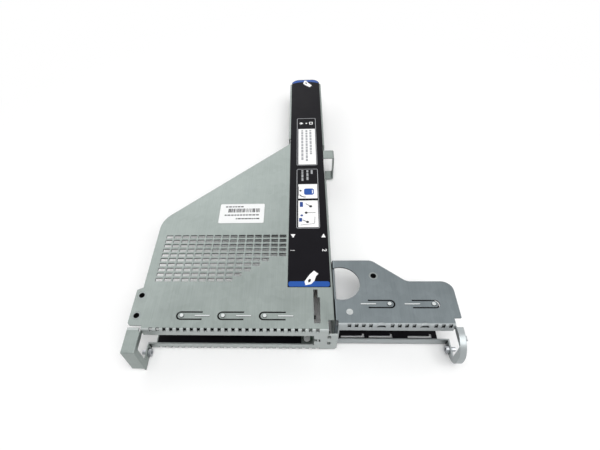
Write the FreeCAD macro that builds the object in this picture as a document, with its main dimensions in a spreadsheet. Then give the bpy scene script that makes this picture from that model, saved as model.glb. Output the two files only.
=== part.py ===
import FreeCAD, Part
import os
import re
import Sketcher

# A server riser assembly: a folded steel cage with a full-height card slot on its left, a
# low-profile card slot on its right, and the riser board that stands under its middle bar.
# x runs to the right from the bar's centre line, y inwards from the face of slot 1's rear
# wall, z up from the surface that the cage rests on. Sizes are in millimetres.

SIZES = [
    # sheet and folds
    ("gauge", 1.0, "thickness of the galvanised sheet"),
    ("bend", 0.5, "inside radius of a fold"),
    ("height", 29.0, "base to top of plates"),
    ("soft_edge", 0.7, "rounding on the guards' folded edges"),
    ("fold_bevel", 0.9, "bevel of the perforated folds"),
    ("fold_room", 2.5, "room left beside a fold where sheets meet at a corner"),
    ("ledge_low", 0.6, "base to lower edge of the screw ledges"),
    ("guard_relief", 1.2, "guards' upper folds clear of the walls"),
    # bar
    ("bar_width", 34.3, "across the bar's two flanges"),
    ("bar_end", 313.5, "wall to far end of the bar"),
    ("bar_corner", 9.0, "radius of the bar's far corners"),
    ("flange_start", 8.0, "wall to start of the right flange"),
    ("flange_break", 146.0, "wall to end of the deep right flange"),
    ("flange_resume", 194.0, "wall to start of the shallow right flange"),
    ("flange_stop", 304.0, "wall to end of the shallow flanges"),
    ("flange_foot", 2.0, "base to lower edge of the deep flange"),
    ("flange_shallow", 10.0, "depth of the shallow flanges"),
    ("left_flange_start", 205.0, "wall to start of the left flange"),
    # left plate
    ("plate_left", 6.0, "plate's left edge beyond slot 1's bracket seat"),
    ("slant_far", 197.7, "where the slanted edge meets the bar"),
    ("slant_near", 99.5, "where the slanted edge meets the left edge"),
    ("slant_round", 20.0, "radius at the slanted edge's outer end"),
    ("slant_hollow", 8.0, "radius at the slanted edge's inner end"),
    ("ear_reach", 4.2, "ear beyond the plate's left edge"),
    ("ear_far", 33.6, "far end of the ear"),
    ("ear_slope", 2.0, "fall of the ear's far edge"),
    ("ear_near", 3.2, "near end of the ear"),
    ("ear_round", 2.6, "radius of the ear's near corner"),
    # vents in the left plate
    ("vent_x", 7.4, "plate's left edge to the first vent"),
    ("vent_y", 87.4, "far side of the first vent"),
    ("vent_pitch_x", 6.55, "vent pitch across"),
    ("vent_pitch_y", 4.54, "vent pitch along"),
    ("vent_width", 5.3, "vent size across"),
    ("vent_length", 3.0, "vent size along"),
    # slots for card brackets
    ("full_bracket", 120.02, "full-height bracket, ledge to tongue tip"),
    ("low_bracket", 79.2, "low-profile bracket, ledge to tongue tip"),
    ("tongue_play", 0.78, "room beyond a bracket's tongue"),
    ("tongue_one", 5.15, "end of slot 1's tongue notch"),
    ("tongue_two", 0.78, "slot 2's tongue room inside the bar's side"),
    ("tongue_height", 3.8, "height of a tongue notch"),
    ("window_low", 7.2, "base to lower edge of a slot window"),
    ("window_high", 21.15, "base to upper edge of a slot window"),
    ("window_one", 2.95, "right end of slot 1's window"),
    ("window_two", 3.1, "bar's side to left end of slot 2's window"),
    ("wall_step", 4.4, "slot 2's wall set in from slot 1's"),
    ("wall_right", 1.9, "slot 1's wall beyond the bar's side"),
    ("wall_corner", 3.2, "radius of that wall's lower corner"),
    ("wall_notch", 12.65, "left side of the corner cut-out"),
    ("notch_drop", 6.0, "corner cut-out below the top"),
    ("shelf_depth", 14.0, "shelf under a slot, front to back"),
    ("shelf_one", 2.85, "slot 1's shelf inside its bracket seat"),
    # end guards
    ("guard_reach", 16.8, "left guard behind the wall"),
    ("guard_width", 9.4, "left guard's folded width"),
    ("guard_drop", 26.0, "height of the left guard's rear face"),
    ("guard_frame", 4.5, "width of the guards' upper rail and stile"),
    ("guard_slit", 1.7, "slit between left guard and ear"),
    ("hook_reach", 14.0, "right guard behind slot 1's wall face"),
    ("hook_width", 3.2, "right guard's rim beyond its wall"),
    ("hook_round", 13.0, "radius of the right guard's corners"),
    ("hook_foot", 6.5, "right guard's rim along its lower edge"),
    ("hook_lug", 3.4, "length of the rim's lug"),
    ("hook_lug_y", -6.0, "slot 1's wall face to the rim's lug"),
    # perforated folds
    ("perf_pitch", 4.76, "pitch of the square holes in a fold"),
    ("perf_width", 2.3, "width of a square hole"),
    ("perf_plate", 1.7, "square hole's reach on the plate"),
    ("perf_wall", 2.6, "square hole's reach on the wall"),
    ("perf_plate_two", 0.9, "slot 2's square holes, reach on the plate"),
    ("perf_wall_two", 3.4, "slot 2's square holes, reach on the wall"),
    ("arch_radius", 4.0, "outer radius of slot 2's half-round arches"),
    ("arch_depth", 1.9, "slot 2's arches from the wall's face"),
    ("perf_one", 6.74, "slot 1's bracket seat to its first square hole"),
    ("perf_two", 26.63, "centre of slot 2's first hole"),
    # spring fingers
    ("finger_length", 18.5, "length of a finger's slot"),
    ("finger_width", 4.4, "width of a spring finger"),
    ("finger_slot", 1.15, "width of the slot round a finger"),
    ("finger_pitch_one", 29.0, "pitch of slot 1's fingers"),
    ("finger_pitch_two", 30.0, "pitch of slot 2's fingers"),
    ("finger_one", 22.8, "slot 1's bracket seat to its first finger's tip"),
    ("finger_one_y", 10.85, "wall to slot 1's fingers"),
    ("finger_two", 59.15, "tip of slot 2's first finger"),
    ("finger_two_y", 20.4, "wall to slot 2's fingers"),
    ("dimple_height", 0.6, "height of a finger's dimple"),
    ("dimple_radius", 1.4, "radius of a finger's dimple"),
    ("bead_length", 10.5, "stiffening bead beside a finger"),
    ("bead_width", 0.9, "width of a bead"),
    ("bead_height", 0.25, "height of a bead"),
    # card end stop on the bar
    ("stop_near", 175.0, "near side of the end stop"),
    ("stop_width", 11.0, "width of the end stop's strap"),
    ("stop_reach", 8.5, "end stop beyond the bar"),
    ("stop_foot", 2.0, "base to underside of the end stop"),
    ("stop_gap", 1.0, "strap's free end to the bar's side"),
    ("stop_relief", 1.2, "radius of the flange's relief notches"),
    # lanced tabs that hold the board
    ("tab_low", 8.0, "base to a tab's lower end"),
    ("tab_width", 17.0, "width of a tab"),
    ("tab_margin", 1.5, "window beyond a tab at each end"),
    ("tab_near", 7.0, "near side of the first tab"),
    ("tab_far", 0.5, "connector's end to the second tab"),
    ("lance_width", 4.4, "width of a tab's window"),
    ("lance_neck", 6.5, "length of the first window's neck"),
    ("neck_width", 3.0, "width of the first window's neck"),
    # low-profile bay
    ("flange_gap", 0.3, "bar flange to bay flange"),
    ("bay_far", 57.3, "far edge of the bay's plate"),
    ("bay_slant_far", 46.55, "slanted edge's far end"),
    ("bay_slant_near", 69.65, "slanted edge's near end"),
    ("bay_mid", 38.8, "far edge beside the slant"),
    ("bay_right", 4.8, "bay's plate beyond slot 2's bracket seat"),
    ("bay_step", 10.0, "near end of that right edge"),
    ("bay_foot", 3.0, "base to lower edge of the bay's flange"),
    ("bay_round", 8.0, "radius of the bay's plate corners"),
    ("finger_hole", 13.8, "radius of the finger hole"),
    ("finger_hole_x", 22.65, "centre of the finger hole"),
    ("finger_hole_y", 37.4, "centre of the finger hole"),
    # riser board
    ("board", 1.57, "thickness of the riser board"),
    ("board_face", 1.95, "board's face against the tabs"),
    ("board_near", 4.0, "wall to near edge of the board"),
    ("board_far", 2.5, "board beyond the second tab"),
    ("board_drop", 2.5, "top of plates to the board's upper edge"),
    ("board_edge", 6.0, "depth of the board's plug tongue"),
    ("plug_near", 42.0, "wall to near end of the plug tongue"),
    ("plug_short", 11.65, "short stretch of the plug tongue"),
    ("plug_key", 1.9, "key notch in the plug tongue"),
    ("plug_long", 71.65, "long stretch of the plug tongue"),
    ("key_depth", 7.0, "depth of the key notch"),
    ("contact_pitch", 8.0, "pitch of the drawn contacts"),
    ("pad_width", 1.2, "width of a plug contact"),
    ("pad_length", 4.6, "length of a plug contact"),
    ("pad_thick", 0.05, "thickness of a plug contact"),
    ("pad_inset", 0.8, "plug contact above the board's edge"),
    # card connector
    ("socket_near", 41.0, "wall to near end of the connector"),
    ("socket_play", 0.8, "connector's slot beyond the card's contacts"),
    ("socket_width", 7.5, "width of the connector"),
    ("socket_depth", 11.2, "connector's reach from the board"),
    ("socket_low", 7.25, "base to lower side of the connector"),
    ("socket_wall", 1.5, "connector's end walls"),
    ("card_gap", 1.8, "width of the card's slot"),
    ("card_depth", 8.6, "depth of the card's slot"),
    ("card_lip", 1.3, "depth of the slot's mouth"),
    ("card_room", 2.8, "width of the slot behind its mouth"),
    ("spring_thick", 0.4, "thickness of a contact spring"),
    ("spring_width", 0.9, "width of a contact spring"),
    ("spring_length", 6.4, "length of a contact spring"),
    ("tail_size", 0.6, "side of a solder tail"),
    ("tail_length", 1.4, "solder tail beyond the board"),
    ("tail_pitch", 10.0, "pitch of the drawn solder tails"),
    ("tail_row", 3.2, "distance between the rows of tails"),
    # fasteners
    ("fit", 0.05, "radial clearance round a shank"),
    ("screw_shank", 1.45, "radius of a board screw's shank"),
    ("screw_head", 2.75, "radius of a board screw's head"),
    ("screw_head_height", 1.9, "height of a board screw's head"),
    ("screw_tip", 1.6, "board screw beyond its tab"),
    ("screw_z", 18.5, "base to the board screws"),
    ("bracket_shank", 1.6, "radius of a bracket screw's shank"),
    ("bracket_head", 2.8, "radius of a bracket screw's head"),
    ("bracket_head_height", 2.1, "height of a bracket screw's head"),
    ("bracket_tip", 3.4, "bracket screw beyond its ledge"),
    ("bracket_y", 5.2, "bracket screw behind its wall"),
    ("bracket_z", 3.8, "base to a bracket screw"),
    ("recess_radius", 1.3, "radius of a screw's recess"),
    ("recess_depth", 1.1, "depth of a screw's recess"),
    ("nut_bore", 2.1, "radius of a clinch nut's thread"),
    ("nut_shank", 3.2, "radius of a clinch nut in the sheet"),
    ("nut_body", 4.6, "corner radius of a clinch nut's body"),
    ("nut_body_height", 5.0, "height of a clinch nut's body"),
    ("nut_depth", 5.0, "depth of a clinch nut's thread"),
    ("ear_nut_inset", 4.7, "ear's edge to its nuts"),
    ("ear_nut_near", 10.7, "wall to the near ear nut"),
    ("ear_nut_far", 27.0, "wall to the far ear nut"),
    ("bay_nut_x", 46.65, "centre line to the bay's nut"),
    ("bay_nut_y", 43.5, "wall to the bay's nut"),
    ("rivet_shank", 1.5, "radius of a rivet's shank"),
    ("rivet_head", 2.5, "radius of a rivet's head"),
    ("rivet_head_height", 0.9, "height of a rivet's head"),
    ("shelf_rivet_x", -1.85, "centre line to the shelf's rivet"),
    ("shelf_rivet_y", 7.7, "wall to the shelf's rivet"),
    ("stud_x", 27.45, "centre line to the bay's stud"),
    ("stud_y", 14.3, "wall to the bay's stud"),
    ("stud_head", 2.3, "radius of the stud's flush head"),
    ("stud_shank", 1.5, "radius of the stud's shank"),
    ("stud_length", 6.0, "stud below the plate"),
    # films and labels
    ("film", 0.4, "thickness of the insulating films"),
    ("film_inset", 1.6, "film behind its wall's face"),
    ("film_one_left", 0.95, "slot 1's film inside its shelf's left end"),
    ("film_one_right", 6.15, "centre line to right end of slot 1's film"),
    ("film_two_left", 21.2, "centre line to left end of slot 2's film"),
    ("film_two_right", 5.25, "slot 2's film inside its bracket seat"),
    ("shelf_finger_one", 22.75, "left end of slot 2's first shelf slit"),
    ("shelf_finger_two", 42.85, "left end of slot 2's second shelf slit"),
    ("shelf_finger_three", 70.65, "left end of slot 2's third shelf slit"),
    ("shelf_slit", 17.0, "length of a shelf slit"),
    ("shelf_slit_width", 1.7, "width of a shelf slit"),
    ("shelf_slit_y", 4.4, "shelf slits behind slot 2's wall face"),
    ("label", 0.25, "thickness of the bar's label"),
    ("label_near", 34.0, "wall to near end of the label"),
    ("label_side", 1.75, "bar's side to the label"),
    ("label_margin", 1.2, "label's far end inside the bar's"),
    ("label_round", 8.0, "radius of the label's far corners"),
    ("sticker", 0.12, "thickness of the plate's sticker"),
    ("sticker_x", -74.05, "left side of the sticker"),
    ("sticker_y", 95.5, "near side of the sticker"),
    ("sticker_width", 37.7, "width of the sticker"),
    ("sticker_length", 21.5, "length of the sticker"),
    # board capacitors
    ("cap_first", 58.0, "wall to the first capacitor"),
    ("cap_pitch", 16.0, "pitch of the capacitors"),
    ("cap_length", 3.5, "length of a capacitor"),
    ("cap_width", 2.8, "width of a capacitor"),
    ("cap_height", 1.9, "height of a capacitor"),
    ("cap_z", 19.5, "base to a capacitor's lower side"),
]
VENT_ROWS = [(0, 6, 15), (6, 1, 13), (7, 1, 12), (8, 1, 11), (9, 1, 10), (10, 1, 9)]
PERF_GROUPS_TWO = [(0, 4), (6, 4), (12, 3)]
ARCHES = [4.5, 10.5]
FINGERS_ONE = 3
FINGERS_TWO = 2
CAPACITORS = 4
SEAT_ONE = "(tongue_one - full_bracket - tongue_play)"
SHELF_LEFT = f"({SEAT_ONE} + shelf_one)"
PLATE_LEFT = f"({SEAT_ONE} - plate_left)"
PERF_ONE = f"({SEAT_ONE} + perf_one)"
FINGER_ONE = f"({SEAT_ONE} + finger_one)"
SEAT_TWO = "(bar_width / 2 - tongue_two + low_bracket + tongue_play)"
BAY_RIGHT = f"({SEAT_TWO} + bay_right)"
FILM_END = f"({SEAT_TWO} - film_two_right)"
WINDOW_TWO = "(bar_width / 2 + window_two)"
WALL_RIGHT = "(bar_width / 2 + wall_right)"
SOCKET = "(plug_short + plug_key + plug_long + socket_play + 2 * socket_wall)"
TAB_FAR = f"(socket_near + {SOCKET} + tab_far)"
BOARD_FAR = f"({TAB_FAR} + tab_width + board_far)"
BAR_HALF = "bar_width / 2"
BAR_FLAT = "bar_width / 2 - bend - gauge - fold_room / 8"
BAY_LEFT = "bar_width / 2 + flange_gap"

doc = FreeCAD.newDocument("riser_card")
sheet = doc.addObject("Spreadsheet::Sheet", "sizes")
for row, (alias, number, words) in enumerate(SIZES, 1):
    sheet.set(f"A{row}", words)
    sheet.set(f"B{row}", str(number))
    sheet.setAlias(f"B{row}", alias)
doc.recompute()

TURNS = {
    "X": FreeCAD.Rotation(FreeCAD.Vector(0, 1, 0), 90),
    "Y": FreeCAD.Rotation(FreeCAD.Vector(1, 0, 0), -90),
    "Z": FreeCAD.Rotation(),
}
ORIGIN = {
    "x": f"(ear_reach - {PLATE_LEFT} - {BAY_RIGHT}) / 2",
    "y": "(guard_reach - bar_end) / 2",
}


def bound(text):
    """The expression with every size read from the sheet."""
    return re.sub(r"[a-z][a-z_]*", r"sizes.\g<0>", text)


def number(text):
    """The expression's value now."""
    return float(sheet.evalExpression(text))


def seat(piece):
    """Moves a piece from the working datum to the part's origin, under the middle of its box."""
    for axis, text in ORIGIN.items():
        piece.setExpression(f"Placement.Base.{axis}", bound(text))


def new_body(name):
    body = doc.addObject("PartDesign::Body", name)
    body.Label = name
    return body


def datum(body, role):
    return next(item for item in body.Origin.OriginFeatures if item.Role == role)


def primitive(body, kind, name, lo, sizes, axis="Z"):
    """A solid primitive that adds to the body or cuts it, at lo, with its length along an axis."""
    feature = body.newObject(f"PartDesign::{kind}", name)
    feature.Placement = FreeCAD.Placement(FreeCAD.Vector(), TURNS[axis])
    for side, text in sizes.items():
        feature.setExpression(side, bound(text))
    for direction, text in zip("xyz", lo):
        feature.setExpression(f"Placement.Base.{direction}", bound(text))
    body.Tip = feature
    return feature


def box(body, kind, name, lo, size):
    sides = dict(zip(("Length", "Width", "Height"), size))
    return primitive(body, f"{kind}Box", name, lo, sides)


def block(name, lo, size):
    """A free box, for cutting."""
    made = doc.addObject("Part::Box", name)
    for side, text in zip(("Length", "Width", "Height"), size):
        made.setExpression(side, bound(text))
    for direction, text in zip("xyz", lo):
        made.setExpression(f"Placement.Base.{direction}", bound(text))
    return made


def rod(name, centre, axis, radius, length):
    """A free cylinder along an axis, for cutting."""
    made = doc.addObject("Part::Cylinder", name)
    made.Placement = FreeCAD.Placement(FreeCAD.Vector(), TURNS[axis])
    made.setExpression("Radius", bound(radius))
    made.setExpression("Height", bound(length))
    for direction, text in zip("xyz", centre):
        made.setExpression(f"Placement.Base.{direction}", bound(text))
    return made


def cylinder(body, kind, name, centre, axis, radius, length):
    return primitive(body, f"{kind}Cylinder", name, centre, {"Radius": radius, "Height": length}, axis)


def cone(body, kind, name, centre, low, high, length):
    sides = {"Radius1": low, "Radius2": high, "Height": length}
    return primitive(body, f"{kind}Cone", name, centre, sides)


def pattern(body, name, originals, *runs):
    """Copies features along one or two axes, each run an axis, a pitch and a count."""
    feature = body.newObject("PartDesign::LinearPattern", name)
    feature.Originals = originals
    for suffix, (axis, pitch, count) in zip(("", "2"), runs):
        setattr(feature, f"Direction{suffix}", (datum(body, f"{axis}_Axis"), [""]))
        setattr(feature, f"Mode{suffix}", "Spacing")
        setattr(feature, f"Occurrences{suffix}", count)
        feature.setExpression(f"Offset{suffix}", bound(pitch))
    body.Tip = feature
    return feature


def plate(body, name, corners, low, thick):
    """A flat sheet: the outline through the corners, lifted to low and padded upwards."""
    sketch = body.newObject("Sketcher::SketchObject", f"{name}_outline")
    sketch.AttachmentSupport = (datum(body, "XY_Plane"), [""])
    sketch.MapMode = "FlatFace"
    sketch.setExpression("AttachmentOffset.Base.z", bound(low))
    points = [FreeCAD.Vector(number(x), number(y), 0) for x, y in corners]
    for start, end in zip(points, points[1:] + points[:1]):
        sketch.addGeometry(Part.LineSegment(start, end), False)
    for index, corner in enumerate(corners):
        following = (index + 1) % len(corners)
        sketch.addConstraint(Sketcher.Constraint("Coincident", index, 2, following, 1))
        for kind, text in zip(("DistanceX", "DistanceY"), corner):
            made = sketch.addConstraint(Sketcher.Constraint(kind, -1, 1, index, 1, number(text)))
            sketch.setExpression(f"Constraints[{made}]", bound(text))
    feature = body.newObject("PartDesign::Pad", name)
    feature.Profile = sketch
    feature.setExpression("Length", bound(thick))
    body.Tip = feature
    return feature


def edges_along(shape, axis, at):
    """Names of the straight edges that run along an axis through a place on the other two.

    Where the place names the axis too, as a low and a high end, an edge's middle lies between them.
    """
    names = []
    others = [other for other in "XYZ" if other != axis]
    low, high = at.get(axis.lower(), ("-bar_end * 2", "bar_end * 2"))
    for index, edge in enumerate(shape.Edges, 1):
        extent = edge.BoundBox
        middle = edge.CenterOfMass
        flat = all(getattr(extent, f"{other}Length") < 1e-4 for other in others)
        near = all(abs(getattr(middle, other.lower()) - number(at[other.lower()])) < 1e-3
                   for other in others)
        if flat and near and number(low) < getattr(middle, axis.lower()) < number(high):
            names.append(f"Edge{index}")
    return names


def eased(body, kind, name, size, *picks):
    """Rounds or bevels the edges that the picks name, each pick an axis and a place."""
    doc.recompute()
    failed = [item.Name for item in body.Group if {"Invalid", "Error"} & set(item.State)]
    if failed:
        raise RuntimeError(f"{body.Name} failed at {failed}")
    base = body.Tip
    names = []
    for axis, at in picks:
        found = edges_along(base.Shape, axis, at)
        if not found:
            raise ValueError(f"{name}: no edge along {axis} at {at}")
        names += found
    feature = body.newObject(f"PartDesign::{kind}", name)
    feature.Base = (base, names)
    feature.setExpression("Radius" if kind == "Fillet" else "Size", bound(size))
    body.Tip = feature
    return feature


def rounded(body, name, radius, *picks):
    return eased(body, "Fillet", name, radius, *picks)


def bevelled(body, name, size, *picks):
    return eased(body, "Chamfer", name, size, *picks)


def fold(body, name, axis, outside, inside):
    """A fold's two radii: the outer edge and the inner edge of two sheets that meet."""
    rounded(body, f"{name}_outside", "bend + gauge", (axis, outside))
    rounded(body, f"{name}_inside", "bend", (axis, inside))


def finger_marks(body, name, tip, side, y, pitch, count):
    """The dimple and the bead of each spring finger in a row.

    side is +1 where a finger's root lies to the right of its tip, and -1 to the left.
    """
    middle = f"{tip} + {side} * (finger_width / 2 + finger_slot + dimple_radius / 2)"
    root = f"{tip} + {side} * finger_length"
    dimple = body.newObject("PartDesign::AdditivePrism", f"{name}_dimple")
    dimple.Polygon = 8
    dimple.setExpression("Circumradius", bound("dimple_radius"))
    dimple.setExpression("Height", bound("dimple_height"))
    for direction, text in zip("xyz", (middle, y, "height")):
        dimple.setExpression(f"Placement.Base.{direction}", bound(text))
    bead = box(body, "Additive", f"{name}_bead",
               (f"{root} - bead_length / 2", f"{y} - bead_width / 2", "height"),
               ("bead_length", "bead_width", "bead_height"))
    pattern(body, f"{name}_marks", [dimple, bead], ("X", pitch, count))


def finger_slots(name, tip, side, y, pitch, count):
    """The U-shaped slots that cut a row of spring fingers free, as a cutting body."""
    body = new_body(name)
    outer = "(finger_width / 2 + finger_slot)"
    middle = f"{tip} + {side} * {outer}"
    straight = f"(finger_length - {outer})"
    left = middle if side > 0 else f"{middle} - {straight}"
    low = "height - gauge"
    box(body, "Additive", "slot", (left, f"{y} - {outer}", low), (straight, f"2 * {outer}", "gauge"))
    cylinder(body, "Additive", "slot_end", (middle, y, low), "Z", outer, "gauge")
    box(body, "Subtractive", "leaf", (left, f"{y} - finger_width / 2", low),
        (straight, "finger_width", "gauge"))
    cylinder(body, "Subtractive", "leaf_end", (middle, y, low), "Z", "finger_width / 2", "gauge")
    parts = [item for item in body.Group if item.TypeId != "App::Origin"]
    pattern(body, "row", parts, ("X", pitch, count))
    return body


def fold_holes(name, first, y, z, count, on_plate="perf_plate", on_wall="perf_wall"):
    """Square holes across a fold of a rear wall, as a cutting body."""
    body = new_body(name)
    low = f"{z} - {on_wall}" if z == "height" else f"{z} - gauge"
    hole = box(body, "Additive", "hole", (f"{first} - perf_width / 2", f"{y} - gauge", low),
               ("perf_width", f"{on_plate} + gauge", f"{on_wall} + gauge"))
    pattern(body, "row", [hole], ("X", "perf_pitch", count))
    return body


def arch_hole(name, place):
    """The half-round opening under one of slot 2's arches, as a cutting body."""
    body = new_body(name)
    middle = f"perf_two + {place} * perf_pitch"
    inside = "(arch_radius - gauge)"
    low = "height - perf_wall_two"
    cylinder(body, "Additive", "hole", (middle, "wall_step - gauge", low), "Y", inside, "arch_depth")
    box(body, "Subtractive", "foot", (f"{middle} - {inside}", "wall_step - gauge", f"{low} - {inside}"),
        (f"2 * {inside}", "arch_depth", inside))
    return body


def vents():
    """The field of vents in the left plate, as cutting bodies: each stretch of equal rows is one."""
    bodies = []
    for first, rows, columns in VENT_ROWS:
        body = new_body(f"vents_{first}")
        lowest = f"vent_y - vent_length - {first + rows - 1} * vent_pitch_y"
        vent = box(body, "Additive", "vent", (f"{PLATE_LEFT} + vent_x", lowest, "height - gauge"),
                   ("vent_width", "vent_length", "gauge"))
        pattern(body, "field", [vent], ("X", "vent_pitch_x", columns), ("Y", "vent_pitch_y", rows))
        bodies.append(body)
    return bodies


def opened(name, body, tools):
    """A sheet with its openings cut through it."""
    openings = joined(f"{name}_openings", tools)
    piece = doc.addObject("Part::Cut", name)
    piece.Label = name
    piece.Base = body
    piece.Tool = openings
    seat(piece)
    return piece


def shelf_slits(name, low, thick):
    """Three slits in slot 2's shelf and its film, each turned inwards at its right end."""
    near = "wall_step + shelf_slit_y"
    tools = []
    for start in ("shelf_finger_one", "shelf_finger_two", "shelf_finger_three"):
        tools.append(block(f"{name}_{start}", (start, near, low), ("shelf_slit", "shelf_slit_width", thick)))
        tools.append(block(f"{name}_{start}_end", (f"{start} + shelf_slit - shelf_slit_width", near, low),
                           ("shelf_slit_width", "shelf_slit_width * 2", thick)))
    return tools


def main_cage():
    """Left plate, bar, slot 1's rear wall, its shelf and the left guard: one folded sheet."""
    body = new_body("main_sheet")
    flat = f"({BAR_FLAT})"
    half = f"({BAR_HALF})"
    ear_left = f"({PLATE_LEFT} - ear_reach)"
    under = "height - gauge"
    plate(body, "plate", [
        (flat, "0"), (flat, "bar_end"), (f"-{flat}", "bar_end"), (f"-{flat}", "slant_far"),
        (PLATE_LEFT, "slant_near"), (PLATE_LEFT, "ear_far"),
        (ear_left, "ear_far - ear_slope"), (ear_left, "ear_near"),
        (SEAT_ONE, "ear_near"), (SEAT_ONE, "0"),
    ], under, "gauge")
    rounded(body, "bar_corners", "bar_corner", ("Z", {"x": flat, "y": "bar_end"}),
            ("Z", {"x": f"-{flat}", "y": "bar_end"}))
    rounded(body, "slant_outer", "slant_round", ("Z", {"x": PLATE_LEFT, "y": "slant_near"}))
    rounded(body, "slant_inner", "slant_hollow", ("Z", {"x": f"-{flat}", "y": "slant_far"}))
    rounded(body, "ear_corners", "ear_round", ("Z", {"x": ear_left, "y": "ear_near"}))

    # rear wall and shelf
    box(body, "Additive", "wall", (SHELF_LEFT, "0", "0"), (f"{flat} - {SHELF_LEFT}", "gauge", "height"))
    box(body, "Additive", "wall_left", (SEAT_ONE, "0", "ledge_low"),
        ("shelf_one", "gauge", "height - ledge_low"))
    box(body, "Additive", "wall_end", (flat, "0", "ledge_low"),
        (f"{WALL_RIGHT} - {flat}", "gauge", "height - notch_drop - ledge_low"))
    box(body, "Additive", "shelf", (SHELF_LEFT, "0", "0"),
        (f"{flat} - {SHELF_LEFT}", "shelf_depth", "gauge"))
    bevelled(body, "top_fold", "fold_bevel", ("X", {"y": "0", "z": "height"}))
    bevelled(body, "shelf_fold", "fold_bevel", ("X", {"y": "0", "z": "0"}))
    rounded(body, "wall_lower_corner", "wall_corner", ("Y", {"x": WALL_RIGHT, "z": "ledge_low"}))

    # left guard: a framed wall in line with the bracket's seat, folded over at its top and rear
    reach = "-guard_reach"
    outer = f"{SEAT_ONE} - guard_width"
    box(body, "Additive", "guard_wall", (f"{SEAT_ONE} - gauge", reach, "ledge_low"),
        ("gauge", "guard_reach + gauge", "height - ledge_low - fold_room"))
    box(body, "Additive", "guard_wall_top", (f"{SEAT_ONE} - gauge", reach, "height - fold_room"),
        ("gauge", "guard_reach - guard_relief", "fold_room"))
    box(body, "Additive", "guard_top", (outer, reach, under),
        ("guard_width", "guard_reach - guard_relief", "gauge"))
    box(body, "Additive", "guard_top_end", (outer, "-guard_relief", under),
        ("guard_width - guard_relief", "guard_relief + ear_near - guard_slit", "gauge"))
    box(body, "Additive", "guard_rear", (outer, reach, "height - guard_drop"),
        ("guard_width", "gauge", "guard_drop"))
    rounded(body, "guard_edges", "soft_edge", ("Y", {"x": SEAT_ONE, "y": (reach, "0"), "z": "height"}),
            ("Z", {"x": SEAT_ONE, "y": reach}), ("X", {"y": reach, "z": "height"}))

    # bar flanges
    strips = (("near", half, flat, "flange_start", "flange_break", "height - flange_foot"),
              ("far", half, flat, "flange_resume", "flange_stop", "flange_shallow"))
    for name, side, start, near, far, depth in strips:
        box(body, "Additive", f"flange_{name}_top", (start, near, under),
            (f"{side} - {start}", f"{far} - {near}", "gauge"))
        box(body, "Additive", f"flange_{name}", (f"{side} - gauge", near, f"height - ({depth})"),
            ("gauge", f"{far} - {near}", depth))
    box(body, "Additive", "flange_left_top", (f"-{half}", "left_flange_start", under),
        (f"{half} - {flat}", "flange_stop - left_flange_start", "gauge"))
    box(body, "Additive", "flange_left", (f"-{half}", "left_flange_start", "height - flange_shallow"),
        ("gauge", "flange_stop - left_flange_start", "flange_shallow"))
    fold(body, "flange_fold", "Y", {"x": half, "z": "height"}, {"x": f"{half} - gauge", "z": under})
    fold(body, "left_fold", "Y", {"x": f"-{half}", "z": "height"}, {"x": f"-{half} + gauge", "z": under})

    # card end stop: a strap folded out of the bar, down and back under
    stop_right = f"{half} + stop_reach"
    box(body, "Additive", "stop_top", (flat, "stop_near", under),
        (f"{stop_right} - {flat}", "stop_width", "gauge"))
    box(body, "Additive", "stop_side", (f"{stop_right} - gauge", "stop_near", "stop_foot"),
        ("gauge", "stop_width", "height - stop_foot"))
    box(body, "Additive", "stop_under", (f"{half} + stop_gap", "stop_near", "stop_foot"),
        ("stop_reach - stop_gap", "stop_width", "gauge"))
    fold(body, "stop_fold", "Y", {"x": stop_right, "z": "height"},
         {"x": f"{stop_right} - gauge", "z": under})
    fold(body, "stop_foot_fold", "Y", {"x": stop_right, "z": "stop_foot"},
         {"x": f"{stop_right} - gauge", "z": "stop_foot + gauge"})

    # lanced tabs for the board
    for name, y in (("near", "tab_near"), ("far", TAB_FAR)):
        box(body, "Additive", f"tab_{name}", ("board_face", y, "tab_low"),
            ("gauge", "tab_width", f"{under} - tab_low"))
    finger_marks(body, "finger", FINGER_ONE, 1, "finger_one_y", "finger_pitch_one", FINGERS_ONE)

    # openings
    lance = "board_face + gauge"
    holes = int((number("wall_notch") - number(PERF_ONE)) / number("perf_pitch"))
    mid = "(window_low + window_high - tongue_height) / 2"
    nut_x = f"{ear_left} + ear_nut_inset"
    tools = vents() + [
        fold_holes("top_holes_one", PERF_ONE, "0", "height", holes),
        fold_holes("shelf_holes_one", PERF_ONE, "0", "0", holes),
        finger_slots("finger_slots_one", FINGER_ONE, 1, "finger_one_y", "finger_pitch_one", FINGERS_ONE),
        block("guard_window", (f"{SEAT_ONE} - gauge", f"{reach} + guard_frame", "window_low"),
              ("gauge", "guard_reach - guard_frame + gauge", "height - guard_frame - window_low")),
        rod("ledge_hole_one", (f"{SEAT_ONE} - gauge", "-bracket_y", "bracket_z"), "X",
            "bracket_shank + fit", "gauge"),
        block("lance_neck_cut", (lance, "tab_near + tab_width + tab_margin", under),
              ("neck_width", "lance_neck", "gauge")),
        block("window_one_cut", (SEAT_ONE, "0", "window_low"),
              (f"window_one - {SEAT_ONE}", "gauge", "window_high - window_low")),
        block("tongue_notch", ("window_one", "0", mid),
              ("tongue_one - window_one", "gauge", "tongue_height")),
        block("tongue_slot", ("tongue_one + gauge", "0", mid), ("finger_slot", "gauge", "tongue_height")),
        block("corner_cut", ("wall_notch", "0", "height - notch_drop"),
              (f"{flat} - wall_notch", "flange_start", "notch_drop")),
        rod("shelf_rivet_hole", ("shelf_rivet_x", "shelf_rivet_y", "0"), "Z", "rivet_shank + fit", "gauge"),
    ]
    for name, y in (("near", "tab_near"), ("far", TAB_FAR)):
        tools.append(block(f"lance_{name}", (lance, f"{y} - tab_margin", under),
                           ("lance_width", "tab_width + 2 * tab_margin", "gauge")))
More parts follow.
